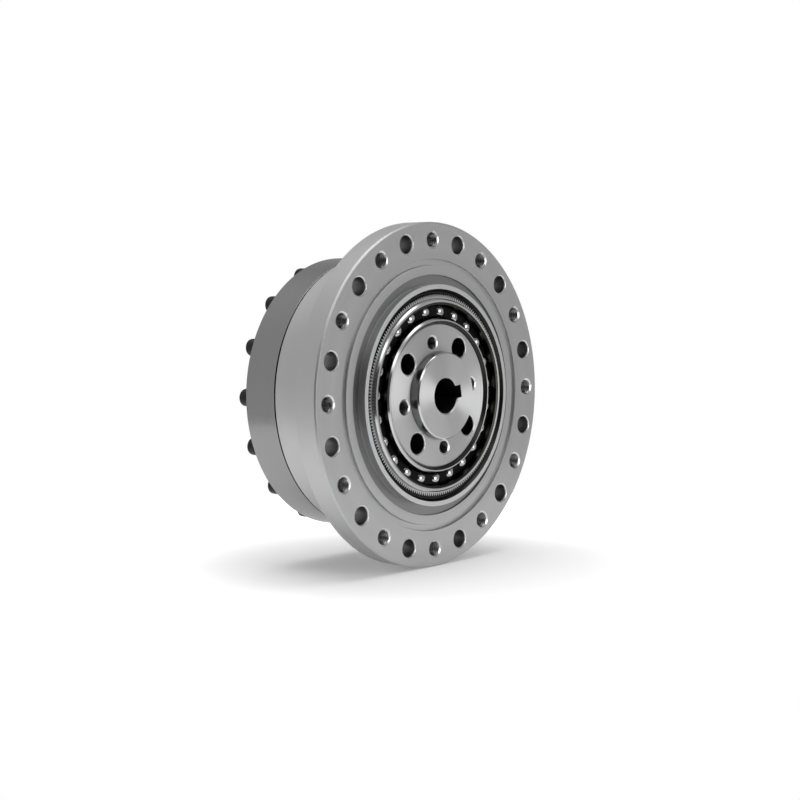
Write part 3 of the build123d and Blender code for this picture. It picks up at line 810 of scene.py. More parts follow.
MATERIALS: dict[Slot | Trim, bpy.types.Material] = {}
FINISHES: dict[Slot | Trim, TurnedSteel | PlainFinish] = {
    Slot.FLANGE: TurnedSteel("satin_turned_steel", (0.56, 0.56, 0.565), 0.46),
    Slot.RACE: TurnedSteel(
        "ground_race_steel", (0.44, 0.44, 0.445), 0.22, spread=0.04, anisotropic=0.3
    ),
    Slot.SPRING: TurnedSteel("ground_spring_steel", (0.50, 0.50, 0.505), 0.24, spread=0.04),
    Slot.PLUG: TurnedSteel(
        "face_turned_plug", (0.60, 0.60, 0.605), 0.40, spread=0.03, anisotropic=0.95
    ),
    Slot.BALL: PlainFinish(
        "polished_ball_steel",
        (0.46, 0.46, 0.465),
        0.07,
        metallic=1.0,
        spread=0.02,
        grain=5e-7,
        grain_scale=9000.0,
    ),
    Slot.SCREW: PlainFinish(
        "black_oxide", (0.020, 0.020, 0.021), 0.38, metallic=0.6, grain=4e-6, grain_scale=6000.0
    ),
    Slot.RUBBER: PlainFinish("black_rubber", (0.018, 0.018, 0.018), 0.55),
    Slot.CAGE: PlainFinish("black_moulded_cage", (0.004, 0.004, 0.004), 0.30, specular=0.06),
    # Painted shade: a dark tone for walls inside bores and holes.
    Trim.BORED: PlainFinish(
        "bored_wall", (0.10, 0.10, 0.10), 0.40, metallic=1.0, grain=3e-6, grain_scale=5000.0
    ),
    # Painted shade: a near-black steel tone for walls in the gear's hollows, gaps and tooth spaces,
    # where shade falls.
    Trim.GREASED: PlainFinish(
        "greased_steel", (0.035, 0.034, 0.032), 0.30, metallic=1.0, grain=3e-6, grain_scale=3000.0
    ),
    # Painted reflection: a darker tone that stands in for the dark mirror image on the hub's wall.
    Trim.POLISHED: TurnedSteel("polished_wall", (0.24, 0.24, 0.243), 0.30, spread=0.03),
    Trim.LAPPED: TurnedSteel("lapped_face", (0.46, 0.46, 0.465), 0.38),
    Trim.REAR_RING: TurnedSteel(
        "turned_ring", (0.33, 0.33, 0.335), 0.26, spread=0.04, anisotropic=0.3
    ),
    # Painted shade: a darker tone for the recess round the collar.
    Trim.SUNK: TurnedSteel("sunk_face", (0.24, 0.24, 0.243), 0.32),
    # Painted shade: a dark tone for the walls of the flange's clearance holes.
    Trim.DRILLED: bare_steel("drilled_wall", (0.22, 0.22, 0.222), 0.40),
    # Painted highlight: a lighter tone for the rounded mouths of holes, so that their rims read
    # bright, on top of the real rounding.
    Trim.MOUTH: bare_steel("hole_mouth", (0.66, 0.66, 0.665), 0.24),
    # Painted highlight: a lighter tone, with a really smoother finish, for rounded front edges, so
    # that they read as bright lines.
    Trim.EDGE: bare_steel("bright_edge", (0.66, 0.66, 0.665), 0.16, grain=5e-7),
    Trim.FACED: TurnedSteel("faced_rim", (0.50, 0.50, 0.505), 0.40),
    Trim.TURNED: TurnedSteel(
        "turned_rim", (0.56, 0.56, 0.565), 0.34, spread=0.03, anisotropic=0.9
    ),
    # Painted shade: a dark tone for the walls of tapped holes.
    Trim.TAPPED: bare_steel("tapped_wall", (0.27, 0.27, 0.273), 0.34),
}


def prepare_finishes() -> None:
    """Builds the shared groups first, then every material."""
    GROUPS["turning_marks"] = turning_marks_group()
    GROUPS["handling"] = handling_group()
    for place, finish in FINISHES.items():
        MATERIALS[place] = finish.material()


def trim(thing: bpy.types.Object, finish: Trim, chosen: FaceTest) -> None:
    """Gives chosen faces of a dressed piece a finish of their own.

    Args:
        thing: The piece, with its main material in place.
        finish: The faces' finish.
        chosen: Tells for a face whether it takes the finish.
    """
    thing.data.materials.append(MATERIALS[finish])
    index = len(thing.data.materials) - 1
    for polygon in thing.data.polygons:
        if chosen(polygon):
            polygon.material_index = index


def dress(thing: bpy.types.Object, slot: Slot, body: Body, nodes: Sequence[str]) -> None:
    """Gives a finished piece its material, its body and the solids that it stands for.

    Args:
        thing: The piece, at the origin.
        slot: The record's material slot.
        body: The body that it rides on.
        nodes: The solids that it replaces.
    """
    thing.data.materials.clear()
    thing.data.materials.append(MATERIALS[slot])
    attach(thing, body.value)
    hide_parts(*nodes)
    LOG.info("%s: %d faces on %s", thing.name, len(thing.data.polygons), body.value)


# Geometry Nodes for what repeats


class NodeBuilder:
    """A Geometry Nodes tree with named inputs, applied to a plain mesh at the end."""

    def __init__(self, name: str, **values: object) -> None:
        """Starts a tree with a geometry output and named inputs.

        Args:
            name: The tree's name.
            values: Each input's name and value: a float, a whole number, an object or a
                material. A material named Material is the one that the result gets.
        """
        self.tree = bpy.data.node_groups.new(name, "GeometryNodeTree")
        self.tree.is_modifier = True
        self.tree.interface.new_socket(
            "Geometry", in_out="OUTPUT", socket_type="NodeSocketGeometry"
        )
        self.values = {self.socket(key, value): value for key, value in values.items()}
        self.graph = Graph(self.tree)
        self.given = self.graph.node("NodeGroupInput").outputs

    def socket(self, name: str, value: object) -> str:
        """Adds one named input, with a type that follows its value, and gives its identifier."""
        kinds = {float: "Float", int: "Int", bpy.types.Material: "Material"}
        kind = "NodeSocket" + kinds.get(type(value), "Object")
        return self.tree.interface.new_socket(name, in_out="INPUT", socket_type=kind).identifier

    def finish(self, geometry: bpy.types.NodeSocket) -> None:
        """Ends the tree with Realize Instances and Set Material."""
        real = self.graph.fed(self.graph.node("GeometryNodeRealizeInstances"), {0: geometry})
        painted = self.graph.node("GeometryNodeSetMaterial")
        values = {"Geometry": real.outputs[0], "Material": self.given["Material"]}
        self.graph.fed(painted, values)
        self.graph.fed(self.graph.node("NodeGroupOutput"), {0: painted.outputs["Geometry"]})

    def plain_mesh(self, name: str) -> bpy.types.Object:
        """Runs the tree once and keeps its result as an ordinary object."""
        carrier = mesh_object(name, bpy.data.meshes.new(name))
        modifier = carrier.modifiers.new("nodes", "NODES")
        modifier.node_group = self.tree
        for identifier, value in self.values.items():
            modifier[identifier] = value
        return keep_result(carrier)


def ring_of(
    name: str,
    original: bpy.types.Object,
    circle_radius: float,
    count: int,
    first: float,
    slot: Slot,
    lift: float = 0.0,
    skip: float = 0.0,
) -> bpy.types.Object:
    """Repeats an object on a circle about the gear axis with Geometry Nodes.

    Args:
        name: The new object's name.
        original: The object to repeat, standing on the gear axis; it is used up.
        circle_radius: The circle's radius in millimetres.
        count: How many copies.
        first: The first copy's angle in degrees.
        slot: The slot whose material the copies get.
        lift: How far the wave moves the copies at the long axis, in millimetres.
        skip: How far the wave shifts them round, in millimetres.

    Returns:
        One plain mesh of all copies, each turned to face outwards.
    """
    builder = NodeBuilder(
        name + "_ring",
        Original=original,
        Radius=circle_radius * MM,
        Count=count,
        First=math.radians(first),
        Lift=lift * MM,
        Skip=skip / circle_radius,
        Axis=math.radians(WAVE.turn),
        Material=MATERIALS[slot],
    )
    graph, given = builder.graph, builder.given
    points = graph.fed(graph.node("GeometryNodePoints"), {"Count": given["Count"]})
    index = graph.node("GeometryNodeInputIndex").outputs[0]
    step = graph.math("DIVIDE", 2 * math.pi, given["Count"])
    even = graph.math("MULTIPLY_ADD", index, step, given["First"])
    double = graph.math("MULTIPLY", graph.math("SUBTRACT", even, given["Axis"]), 2.0)
    shift = graph.math("MULTIPLY", graph.math("SINE", double), given["Skip"])
    angle = graph.math("SUBTRACT", even, shift)
    rise = graph.math("MULTIPLY", graph.math("COSINE", double), given["Lift"])
    radius = graph.math("ADD", given["Radius"], rise)
    across = graph.math("MULTIPLY", graph.math("COSINE", angle), radius)
    upward = graph.math("MULTIPLY", graph.math("SINE", angle), radius)
    spot = graph.fed(graph.node("ShaderNodeCombineXYZ"), {0: across, 2: upward})
    moved = graph.node("GeometryNodeSetPosition")
    graph.fed(moved, {"Geometry": points.outputs[0], "Position": spot.outputs[0]})
    facing = graph.math("MULTIPLY", angle, -1.0)
    turn = graph.fed(graph.node("ShaderNodeCombineXYZ"), {1: facing})
    source = graph.fed(graph.node("GeometryNodeObjectInfo"), {"Object": given["Original"]})
    placed = graph.node("GeometryNodeInstanceOnPoints")
    values = {
        "Points": moved.outputs["Geometry"],
        "Instance": source.outputs["Geometry"],
        "Rotation": turn.outputs[0],
    }
    builder.finish(graph.fed(placed, values).outputs[0])
    ring = builder.plain_mesh(name)
    bpy.data.objects.remove(original)
    return ring


# The gear's pieces, by the body that carries them


@dataclass
class MountingBody:
    """The bolted flange and body with the fixed ring teeth.

    Attributes:
        flange_radius: The flange's outer radius.
        flange_thickness: The flange's thickness.
        body_radius: The radius of the body behind the flange.
        collar_front: The depth of the raised collar's front face.
        collar_inner: The radius where the collar's front face begins.
        collar_outer: The collar's outer radius.
        recess_radius: The outer radius of the sunk ring round the collar.
        recess_depth: How deep that ring lies under the flange's face.
        groove_inner: The seal groove's inner radius.
        groove_outer: The seal groove's outer radius.
        groove_depth: The seal groove's depth.
        cup_room: The radius of the room round the cup.
        tooth_count: The number of fixed ring teeth.
        pitch_radius: Their pitch radius.
        tooth_front: The depth where the teeth begin.
        tooth_end: The depth where they end.
        bolts: The clearance holes.
        jacks: The tapped holes between them.
    """

    flange_radius: float = 53.5
    flange_thickness: float = 8.0
    body_radius: float = 43.0
    collar_front: float = -2.1
    collar_inner: float = 32.85
    collar_outer: float = 34.35
    recess_radius: float = 37.25
    recess_depth: float = 0.6
    groove_inner: float = 40.2
    groove_outer: float = 42.15
    groove_depth: float = 1.0
    cup_room: float = 33.6
    tooth_count: int = 202
    pitch_radius: float = 31.5625
    tooth_front: float = -1.0
    tooth_end: float = 9.4
    bolts: HoleCircle = HoleCircle(2.75, 48.0, 12, 15.0, mouth=0.45)
    jacks: HoleCircle = HoleCircle(2.1, 48.0, 12, thread=0.3, pitch=0.8)

    def outline(self) -> list[Point]:
        """The turned section, from the ring's bore round the flange to the relief behind it."""
        root = self.pitch_radius + 0.4
        slot_front = JOINT.depth - JOINT.half_slot
        pilot_floor = JOINT.depth - JOINT.pilot_length
        front_face = [
            (root, self.tooth_front),
            (root + 0.1, self.tooth_front),
            (self.collar_inner, self.collar_front),
            (self.collar_outer, self.collar_front),
            (self.collar_outer, self.recess_depth),
            (self.recess_radius, self.recess_depth),
            (self.recess_radius, 0.0),
            (self.groove_inner, 0.0),
            (self.groove_inner, self.groove_depth),
            (self.groove_outer, self.groove_depth),
            (self.groove_outer, 0.0),
        ]
        rear = [
            (self.flange_radius - 0.5, 0.0),
            (self.flange_radius, 0.5),
            (self.flange_radius, self.flange_thickness - 0.3),
            (self.flange_radius - 0.3, self.flange_thickness),
            (self.body_radius, self.flange_thickness),
            (self.body_radius, slot_front),
            (JOINT.slot_floor, slot_front),
            (JOINT.slot_floor, JOINT.depth),
            (JOINT.pilot_radius, JOINT.depth),
            (JOINT.pilot_radius, pilot_floor),
            (self.cup_room, pilot_floor),
            (self.cup_room, self.tooth_end + 1.54),
            (root + 0.1, self.tooth_end),
            (root, self.tooth_end),
        ]
        return softened(front_face + rear, 0.14)

    def body(self) -> None:
        """Builds the body with its holes, and gives its faces their finishes."""
        cutters = [holes.cutters(0.0, self.flange_thickness) for holes in (self.bolts, self.jacks)]
        body = shaded(cut(turned("circular_spline_body", self.outline()), cutters), 24.0)
        slot_front, slot_side = JOINT.depth - JOINT.half_slot - 0.05, self.body_radius - 0.2
        inner, outer = self.collar_outer + 0.05, self.recess_radius + 0.05
        front_side, mouth_room = 2.0, 4.0
        low, high = self.bolts.circle - mouth_room, self.bolts.circle + mouth_room
        dress(body, Slot.FLANGE, Body.HOUSING, ["circular_spline_flange"])
        # Painted shade: the clearance holes' walls take a dark tone.
        trim(body, Trim.DRILLED, self.bolts.is_inside)
        # Painted shade: the tapped holes' walls take a dark tone.
        trim(body, Trim.TAPPED, self.jacks.is_inside)
        # Painted shade: a near-black tone on the collar's bore, the tooth face and the joint slot
        # behind it.
        trim(body, Trim.GREASED, lambda face: reach(face) < self.collar_inner + 0.01)
        trim(body, Trim.GREASED, lambda face: depth(face) > slot_front and reach(face) < slot_side)
        trim(body, Trim.LAPPED, lambda face: is_front(face) and reach(face) > outer)
        # Painted highlight: the holes' rounded mouths take a lighter tone.
        trim(body, Trim.MOUTH, lambda face: is_mouth(face) and low < reach(face) < high)
        # Painted shade: the sunk ring round the collar takes a darker tone.
        trim(body, Trim.SUNK, lambda face: inner < reach(face) < outer and depth(face) < front_side)

    def teeth(self) -> None:
        """Builds the ring teeth, with a gap between two of them at the wave's long axis."""
        section = both_flanks([(-0.2125, -0.129), (0.4, -0.435), (0.5, -0.435)])
        single = bar("ring_tooth", section, self.tooth_front, self.tooth_end)
        first = WAVE.turn + 180 / self.tooth_count
        teeth = ring_of(
            "ring_teeth", single, self.pitch_radius, self.tooth_count, first, Slot.FLANGE
        )
        dress(teeth, Slot.FLANGE, Body.HOUSING, ["circular_spline_flange"])
        # Painted shade: the ring teeth take a near-black tone.
        trim(teeth, Trim.GREASED, is_any)

    def build(self) -> None:
        """Builds the body and its teeth."""
        self.body()
        self.teeth()


@dataclass(frozen=True)
class CapScrew:
    """A black socket cap screw with a knurled head.

    Attributes:
        thread: The shank's radius.
        head: The head's radius.
        height: The head's height.
        socket: The distance from the socket's middle to its flats.
        length: The shank's length.
        ridges: The number of ridges of the knurl.
    """

    thread: float = 1.5
    head: float = 2.75
    height: float = 3.0
    socket: float = 1.25
    length: float = 20.0
    ridges: int = 24

    def knurl(self, radius: float, angle: float, y: float) -> float:
        """Cuts a straight knurl into the head's side only."""
        ridge = 0.5 - 0.5 * math.cos(self.ridges * angle)
        return radius - 0.09 * ridge if radius > self.head - 0.02 else radius

    def build(self, name: str, seat: float) -> bpy.types.Object:
        """Builds the screw on the gear axis.

        Args:
            name: The object's name.
            seat: The depth of the face that the head rests on.

        Returns:
            The screw, ready to be placed on a circle, with its head towards the output side.
        """
        crown = seat + self.height
        outline = [
            (0, seat - self.length),
            (self.thread - 0.2, seat - self.length),
            (self.thread, seat - (self.length - 0.3)),
            (self.thread, seat),
            (self.head - 0.1, seat),
            (self.head, seat + 0.15),
            (self.head, crown - 0.55),
            (self.head - 0.12, crown - 0.25),
            (self.head - 0.45, crown),
            (0, crown),
        ]
        screw = turned(name, outline, segments=3 * self.ridges, bend=self.knurl)
        corner = self.socket / math.cos(math.radians(30))
        angles = [math.radians(60 * side) for side in range(6)]
        hexagon = [(corner * math.cos(angle), corner * math.sin(angle)) for angle in angles]
        hollow = bar(name + "_socket", hexagon, crown - self.height * 0.6, crown + 1.0)
        return cut(screw, [hollow])


@dataclass
class OutputBearingHousing:
    """The rear ring with its shaft seal and its cap screws.

    Attributes:
        radius: The ring's outer radius.
        end: The depth of its rear face.
        bore: The radius of its bore beside the rollers' track.
        pilot_front: The depth where its pilot begins inside the body.
        pocket: The radius of the seal's pocket.
        pocket_depth: How deep the pocket is.
        screw: One cap screw.
        screw_circle: The radius of the circle of cap screws.
        screw_count: How many cap screws.
    """

    radius: float = 42.9
    end: float = 39.5
    bore: float = 33.4
    pilot_front: float = 24.75
    pocket: float = 36.4
    pocket_depth: float = 2.4
    screw: CapScrew = CapScrew()
    screw_circle: float = 40.0
    screw_count: int = 16

    def ring(self) -> None:
        """Builds the ring, with the rollers' track and the seal's pocket."""
        pilot = JOINT.pilot_radius - 0.02
        slot_end = JOINT.depth + JOINT.half_slot
        outline = [
            (self.bore, self.pilot_front),
            (pilot, self.pilot_front),
            (pilot, JOINT.depth),
            (JOINT.slot_floor, JOINT.depth),
            (JOINT.slot_floor, slot_end),
            (self.radius, slot_end),
            (self.radius, self.end - 0.5),
            (self.radius - 0.5, self.end),
            (self.pocket, self.end),
            (self.pocket, self.end - self.pocket_depth),
            (self.bore, self.end - self.pocket_depth),
            (self.bore, TRACK.depth + TRACK.cut),
            (self.bore + TRACK.cut, TRACK.depth),
            (self.bore, TRACK.depth - TRACK.cut),
        ]
        shade_end, shade_side = slot_end + 0.05, self.radius - 0.2
        ring = shaded(turned("outer_race_body", softened(outline, 0.12)))
        dress(ring, Slot.RACE, Body.HOUSING, ["outer_race_ring"])
        trim(ring, Trim.REAR_RING, is_any)
        # Painted shade: the joint slot's faces take a near-black tone.
        trim(
            ring,
            Trim.GREASED,
            lambda face: depth(face) < shade_end and reach(face) < shade_side,
        )

    def seal(self) -> None:
        """Builds the lip seal with its outer case edge."""
        outline = [
            (self.pocket - 0.04, self.end - 2.35),
            (self.pocket - 0.04, self.end - 0.05),
            (35.5, self.end - 0.05),
            (35.3, self.end - 0.5),
            (33.6, self.end - 0.6),
            (32.66, self.end - 0.95),
            (32.66, self.end - 1.4),
            (34.2, self.end - 1.6),
            (34.6, self.end - 2.35),
        ]
        seal = shaded(turned("shaft_seal", softened(outline, 0.12)))
        dress(seal, Slot.RUBBER, Body.HOUSING, ["output_shaft_seal"])

    def screws(self) -> None:
        """Builds the set of cap screws."""
        screw = self.screw.build("body_screw", self.end)
        ring = ring_of(
            "body_screw_set", screw, self.screw_circle, self.screw_count, 0.0, Slot.SCREW
        )
        dress(shaded(ring), Slot.SCREW, Body.HOUSING, ["body_screws"])

    def build(self) -> None:
        """Builds all three."""
        self.ring()
        self.seal()
        self.screws()


@dataclass(frozen=True)
class ThinRace:
    """A thin bearing race with a round ball groove, bent to the cam plug's ellipse.

    Attributes:
        back: The radius of its plain side.
        shoulder: The radius of its shoulders beside the groove.
        bottom: The radius at the groove's bottom.
        inner_chamfer: Width and depth of the chamfers at its inner side.
        outer_chamfer: Width and depth of the chamfers at its outer side.
        front: The depth of its front face.
        end: The depth of its rear face.
        middle: The depth of the groove's middle.
        groove: The radius of the groove's arc.
    """

    back: float
    shoulder: float
    bottom: float
    inner_chamfer: Point
    outer_chamfer: Point = (0.45, 0.5)
    front: float = -2.7
    end: float = 6.3
    middle: float = 1.8
    groove: float = 3.0

    def build(self, name: str) -> bpy.types.Object:
        """Builds the smooth-shaded race."""
        way = 1.0 if self.bottom > self.shoulder else -1.0
        centre = self.bottom - way * self.groove
        half = math.acos(abs(self.shoulder - centre) / self.groove)
        steps = 4
        arc = []
        for step in range(2 * steps + 1):
            angle = half * (step / steps - 1)
            out = centre + way * self.groove * math.cos(angle)
            arc.append((out, self.middle + self.groove * math.sin(angle)))
        chamfers = (self.inner_chamfer, self.outer_chamfer)
        (width, deep), (back_width, back_deep) = chamfers if way > 0 else reversed(chamfers)
        outline = [
            (self.shoulder, self.front + deep),
            (self.shoulder + way * width, self.front),
            (self.back - way * back_width, self.front),
            (self.back, self.front + back_deep),
            (self.back, self.end - back_deep),
            (self.back - way * back_width, self.end),
            (self.shoulder + way * width, self.end),
            (self.shoulder, self.end - deep),
            *reversed(arc),
        ]
        return shaded(turned(name, outline, bend=WAVE.full))


@dataclass
class OutputSide:
    """What turns with the output: the flange, the inner race, the cup and its bolted boss.

    Attributes:
        seat: The depth where the cup's boss meets the output flange.
        end: The depth of the output face.
        journal: The radius of the output flange.
        pilot: The radius of the recess that centres the driven arm.
        pilot_depth: The recess's depth.
        taps: The output holes.
        tap_length: How long they are.
        flex_teeth: The number of teeth on the cup's rim.
        rim_front: The depth of the rim's front face.
        rim_end: The depth where its teeth end.
        rim_root: The radius at the bottom of the tooth gaps.
        cup_inner: The radius inside the cup's wall.
        cup_outer: The radius outside the cup's wall.
        cup_floor: The depth of the cup's floor inside.
        boss: The radius of the boss behind the floor.
        boss_bore: The radius of its bore.
        race: The thin outer race inside the rim.
    """

    seat: float = 31.4
    end: float = 44.0
    journal: float = 32.6
    pilot: float = 15.0
    pilot_depth: float = 3.0
    taps: HoleCircle = HoleCircle(2.5, 21.0, 8, thread=0.35, pitch=1.0)
    tap_length: float = 10.0
    flex_teeth: int = 200
    rim_front: float = -1.4
    rim_end: float = 9.6
    rim_root: float = 30.62
    cup_inner: float = 30.23
    cup_outer: float = 30.68
    cup_floor: float = 27.4
    boss: float = 17.0
    boss_bore: float = 8.1
    race: ThinRace = ThinRace(30.2, 28.4, 29.23, (0.7, 0.35))

    def flange(self) -> None:
        """Builds the output flange with its pilot recess and tapped holes."""
        outline = [
            (24.0, self.seat),
            (24.0, TRACK.depth),
            (self.journal - TRACK.cut, TRACK.depth),
            (self.journal, TRACK.depth + TRACK.cut),
            (self.journal, self.end - 0.5),
            (self.journal - 0.5, self.end),
            (self.pilot + 0.3, self.end),
            (self.pilot, self.end - 0.3),
            (self.pilot, self.end - self.pilot_depth),
        ]
        section = [(0, self.seat), *softened(outline, 0.12), (0, self.end - self.pilot_depth)]
        flange = turned("output_plate", section)
        flange = cut(flange, [self.taps.cutters(self.end - self.tap_length, self.end)])
        dress(shaded(flange), Slot.RACE, Body.OUTPUT, ["output_flange"])
        # Painted shade: the tapped holes' walls take a dark tone.
        trim(flange, Trim.BORED, self.taps.is_inside)

    def cup(self) -> None:
        """Builds the thin cup in its bent state."""
        round_front = self.cup_floor - 4.0
        cup_end = self.cup_floor + 0.6
        outline = [
            (self.cup_inner, self.rim_front),
            (self.rim_root, self.rim_front),
            (self.rim_root, self.rim_end),
            (self.cup_outer, self.rim_end + 0.4),
            (self.cup_outer, round_front),
            (self.cup_outer, cup_end - 0.8),
            (self.cup_outer - 0.8, cup_end),
            (self.boss, cup_end),
            (self.boss, self.seat),
            (self.boss_bore, self.seat),
            (self.boss_bore, self.cup_floor),
            (self.cup_inner - 0.73, self.cup_floor),
            (self.cup_inner, self.cup_floor - 0.73),
            (self.cup_inner, round_front),
            (self.cup_inner, self.rim_end),
        ]

        def bend(radius: float, angle: float, y: float) -> float:
            """Fades the wave out from the toothed rim to the cup's floor."""
            share = min(1.0, max(0.0, (round_front - y) / (round_front - self.rim_end)))
            return WAVE.radius(radius, angle, share)

        cup = turned("flexspline_cup", softened(outline, 0.08, steps=2), bend=bend)
        shade_end = self.rim_end + 0.1
        dress(shaded(cup), Slot.SPRING, Body.OUTPUT, ["flexspline"])
        # Painted shade: the cup's walls along the toothed rim take a near-black tone.
        trim(cup, Trim.GREASED, lambda face: is_wall(face, 0.7) and depth(face) < shade_end)
        trim(cup, Trim.FACED, lambda face: is_front(face, 0.7))

    def teeth(self) -> None:
        """Builds the rim's teeth, lifted and shifted by the wave."""
        section = both_flanks([(0.3, 0.0854), (-0.35, 0.34), (-0.6, 0.37), (-0.74, 0.37)])
        teeth = ring_of(
            "flexspline_teeth",
            bar("flex_tooth", section, self.rim_front, self.rim_end),
            WAVE.pitch_radius,
            self.flex_teeth,
            WAVE.turn,
            Slot.SPRING,
            lift=WAVE.lift,
            skip=WAVE.lift / 2,
        )
        dress(teeth, Slot.SPRING, Body.OUTPUT, ["flexspline"])
        # Painted shade: the teeth's flanks and tips take a near-black tone.
        trim(teeth, Trim.GREASED, is_wall)
        trim(teeth, Trim.FACED, is_front)

    def thin_outer_race(self) -> None:
        """Builds the thin outer race, bent with the rim."""
        ring = self.race.build("wave_outer_race")
        edge, groove_edge = self.race.back - 0.7, self.race.back - 0.55
        dress(ring, Slot.RACE, Body.OUTPUT, ["wave_bearing_outer_race"])
        trim(ring, Trim.FACED, is_front)
        # Painted highlight: the race's outer front edge takes a lighter tone.
        trim(ring, Trim.EDGE, lambda face: is_front_edge(face) and reach(face) > edge)
        # Painted shade: the walls of the ball groove take a near-black tone.
        trim(ring, Trim.GREASED, lambda face: is_wall(face, 0.95) and reach(face) < groove_edge)

    def build(self) -> None:
        """Builds the output pieces."""
        self.flange()
        self.cup()
        self.teeth()
        self.thin_outer_race()


@dataclass
class BallTrain:
    """The balls and the cage between the thin races.

    Attributes:
        count: How many balls.
        radius: A ball's radius.
        circle: The radius of the balls' circle before the plug bends it.
        first: The first ball's angle at rest, in degrees.
        depth: The balls' depth.
        play: How much wider than a ball its pocket is, on each side.
        cage_inner: The cage's inner radius.
        cage_outer: The cage's outer radius.
        cage_front: The depth of the cage's front.
        cage_end: The depth of the cage's rear.
    """

    count: int = 23
    radius: float = 2.8
    circle: float = 26.4
    first: float = 4.9
    depth: float = 1.8
    play: float = 0.1
    cage_inner: float = 24.65
    cage_outer: float = 28.15
    cage_front: float = -0.4
    cage_end: float = 5.5

    def sphere(self, name: str, radius: float, detail: int) -> bpy.types.Object:
        """A ball at the balls' depth on the gear axis."""
        shape = bmesh.new()
        bmesh.ops.create_icosphere(shape, subdivisions=detail, radius=radius * MM)
        bmesh.ops.translate(shape, verts=shape.verts, vec=(0, self.depth * MM, 0))
        return object_from(name, shape)

    def places(self) -> list[Matrix]:
        """The balls' places on the bent circle at rest."""
        places = []
        for index in range(self.count):
            angle = math.radians(self.first + 360 * index / self.count)
            places.append(Matrix.Translation(polar(WAVE.radius(self.circle, angle), angle, 0)))
        return places

    def balls(self) -> None:
        """Builds the balls."""
        ring = ring_of(
            "bearing_balls",
            self.sphere("ball", self.radius, 5),
            self.circle,
            self.count,
            self.first,
            Slot.BALL,
            lift=WAVE.lift,
        )
        smooth(ring)
        dress(ring, Slot.BALL, Body.BALL_SET, ["wave_bearing_balls"])

    def cage(self) -> None:
        """Builds the moulded cage with a round pocket for each ball."""
        outline = [
            (self.cage_inner, self.cage_front),
            (self.cage_outer, self.cage_front),
            (self.cage_outer, self.cage_end),
            (self.cage_inner, self.cage_end),
        ]
        band = turned("bearing_cage", softened(outline, 0.35), bend=WAVE.full)
        pocket = self.sphere("pocket", self.radius + self.play, 4)
        band = cut(band, [copies("pockets", pocket, self.places())])
        dress(shaded(band), Slot.CAGE, Body.BALL_SET, ["wave_bearing_cage"])

    def build(self) -> None:
        """Builds the balls and the cage."""
        self.balls()
        self.cage()


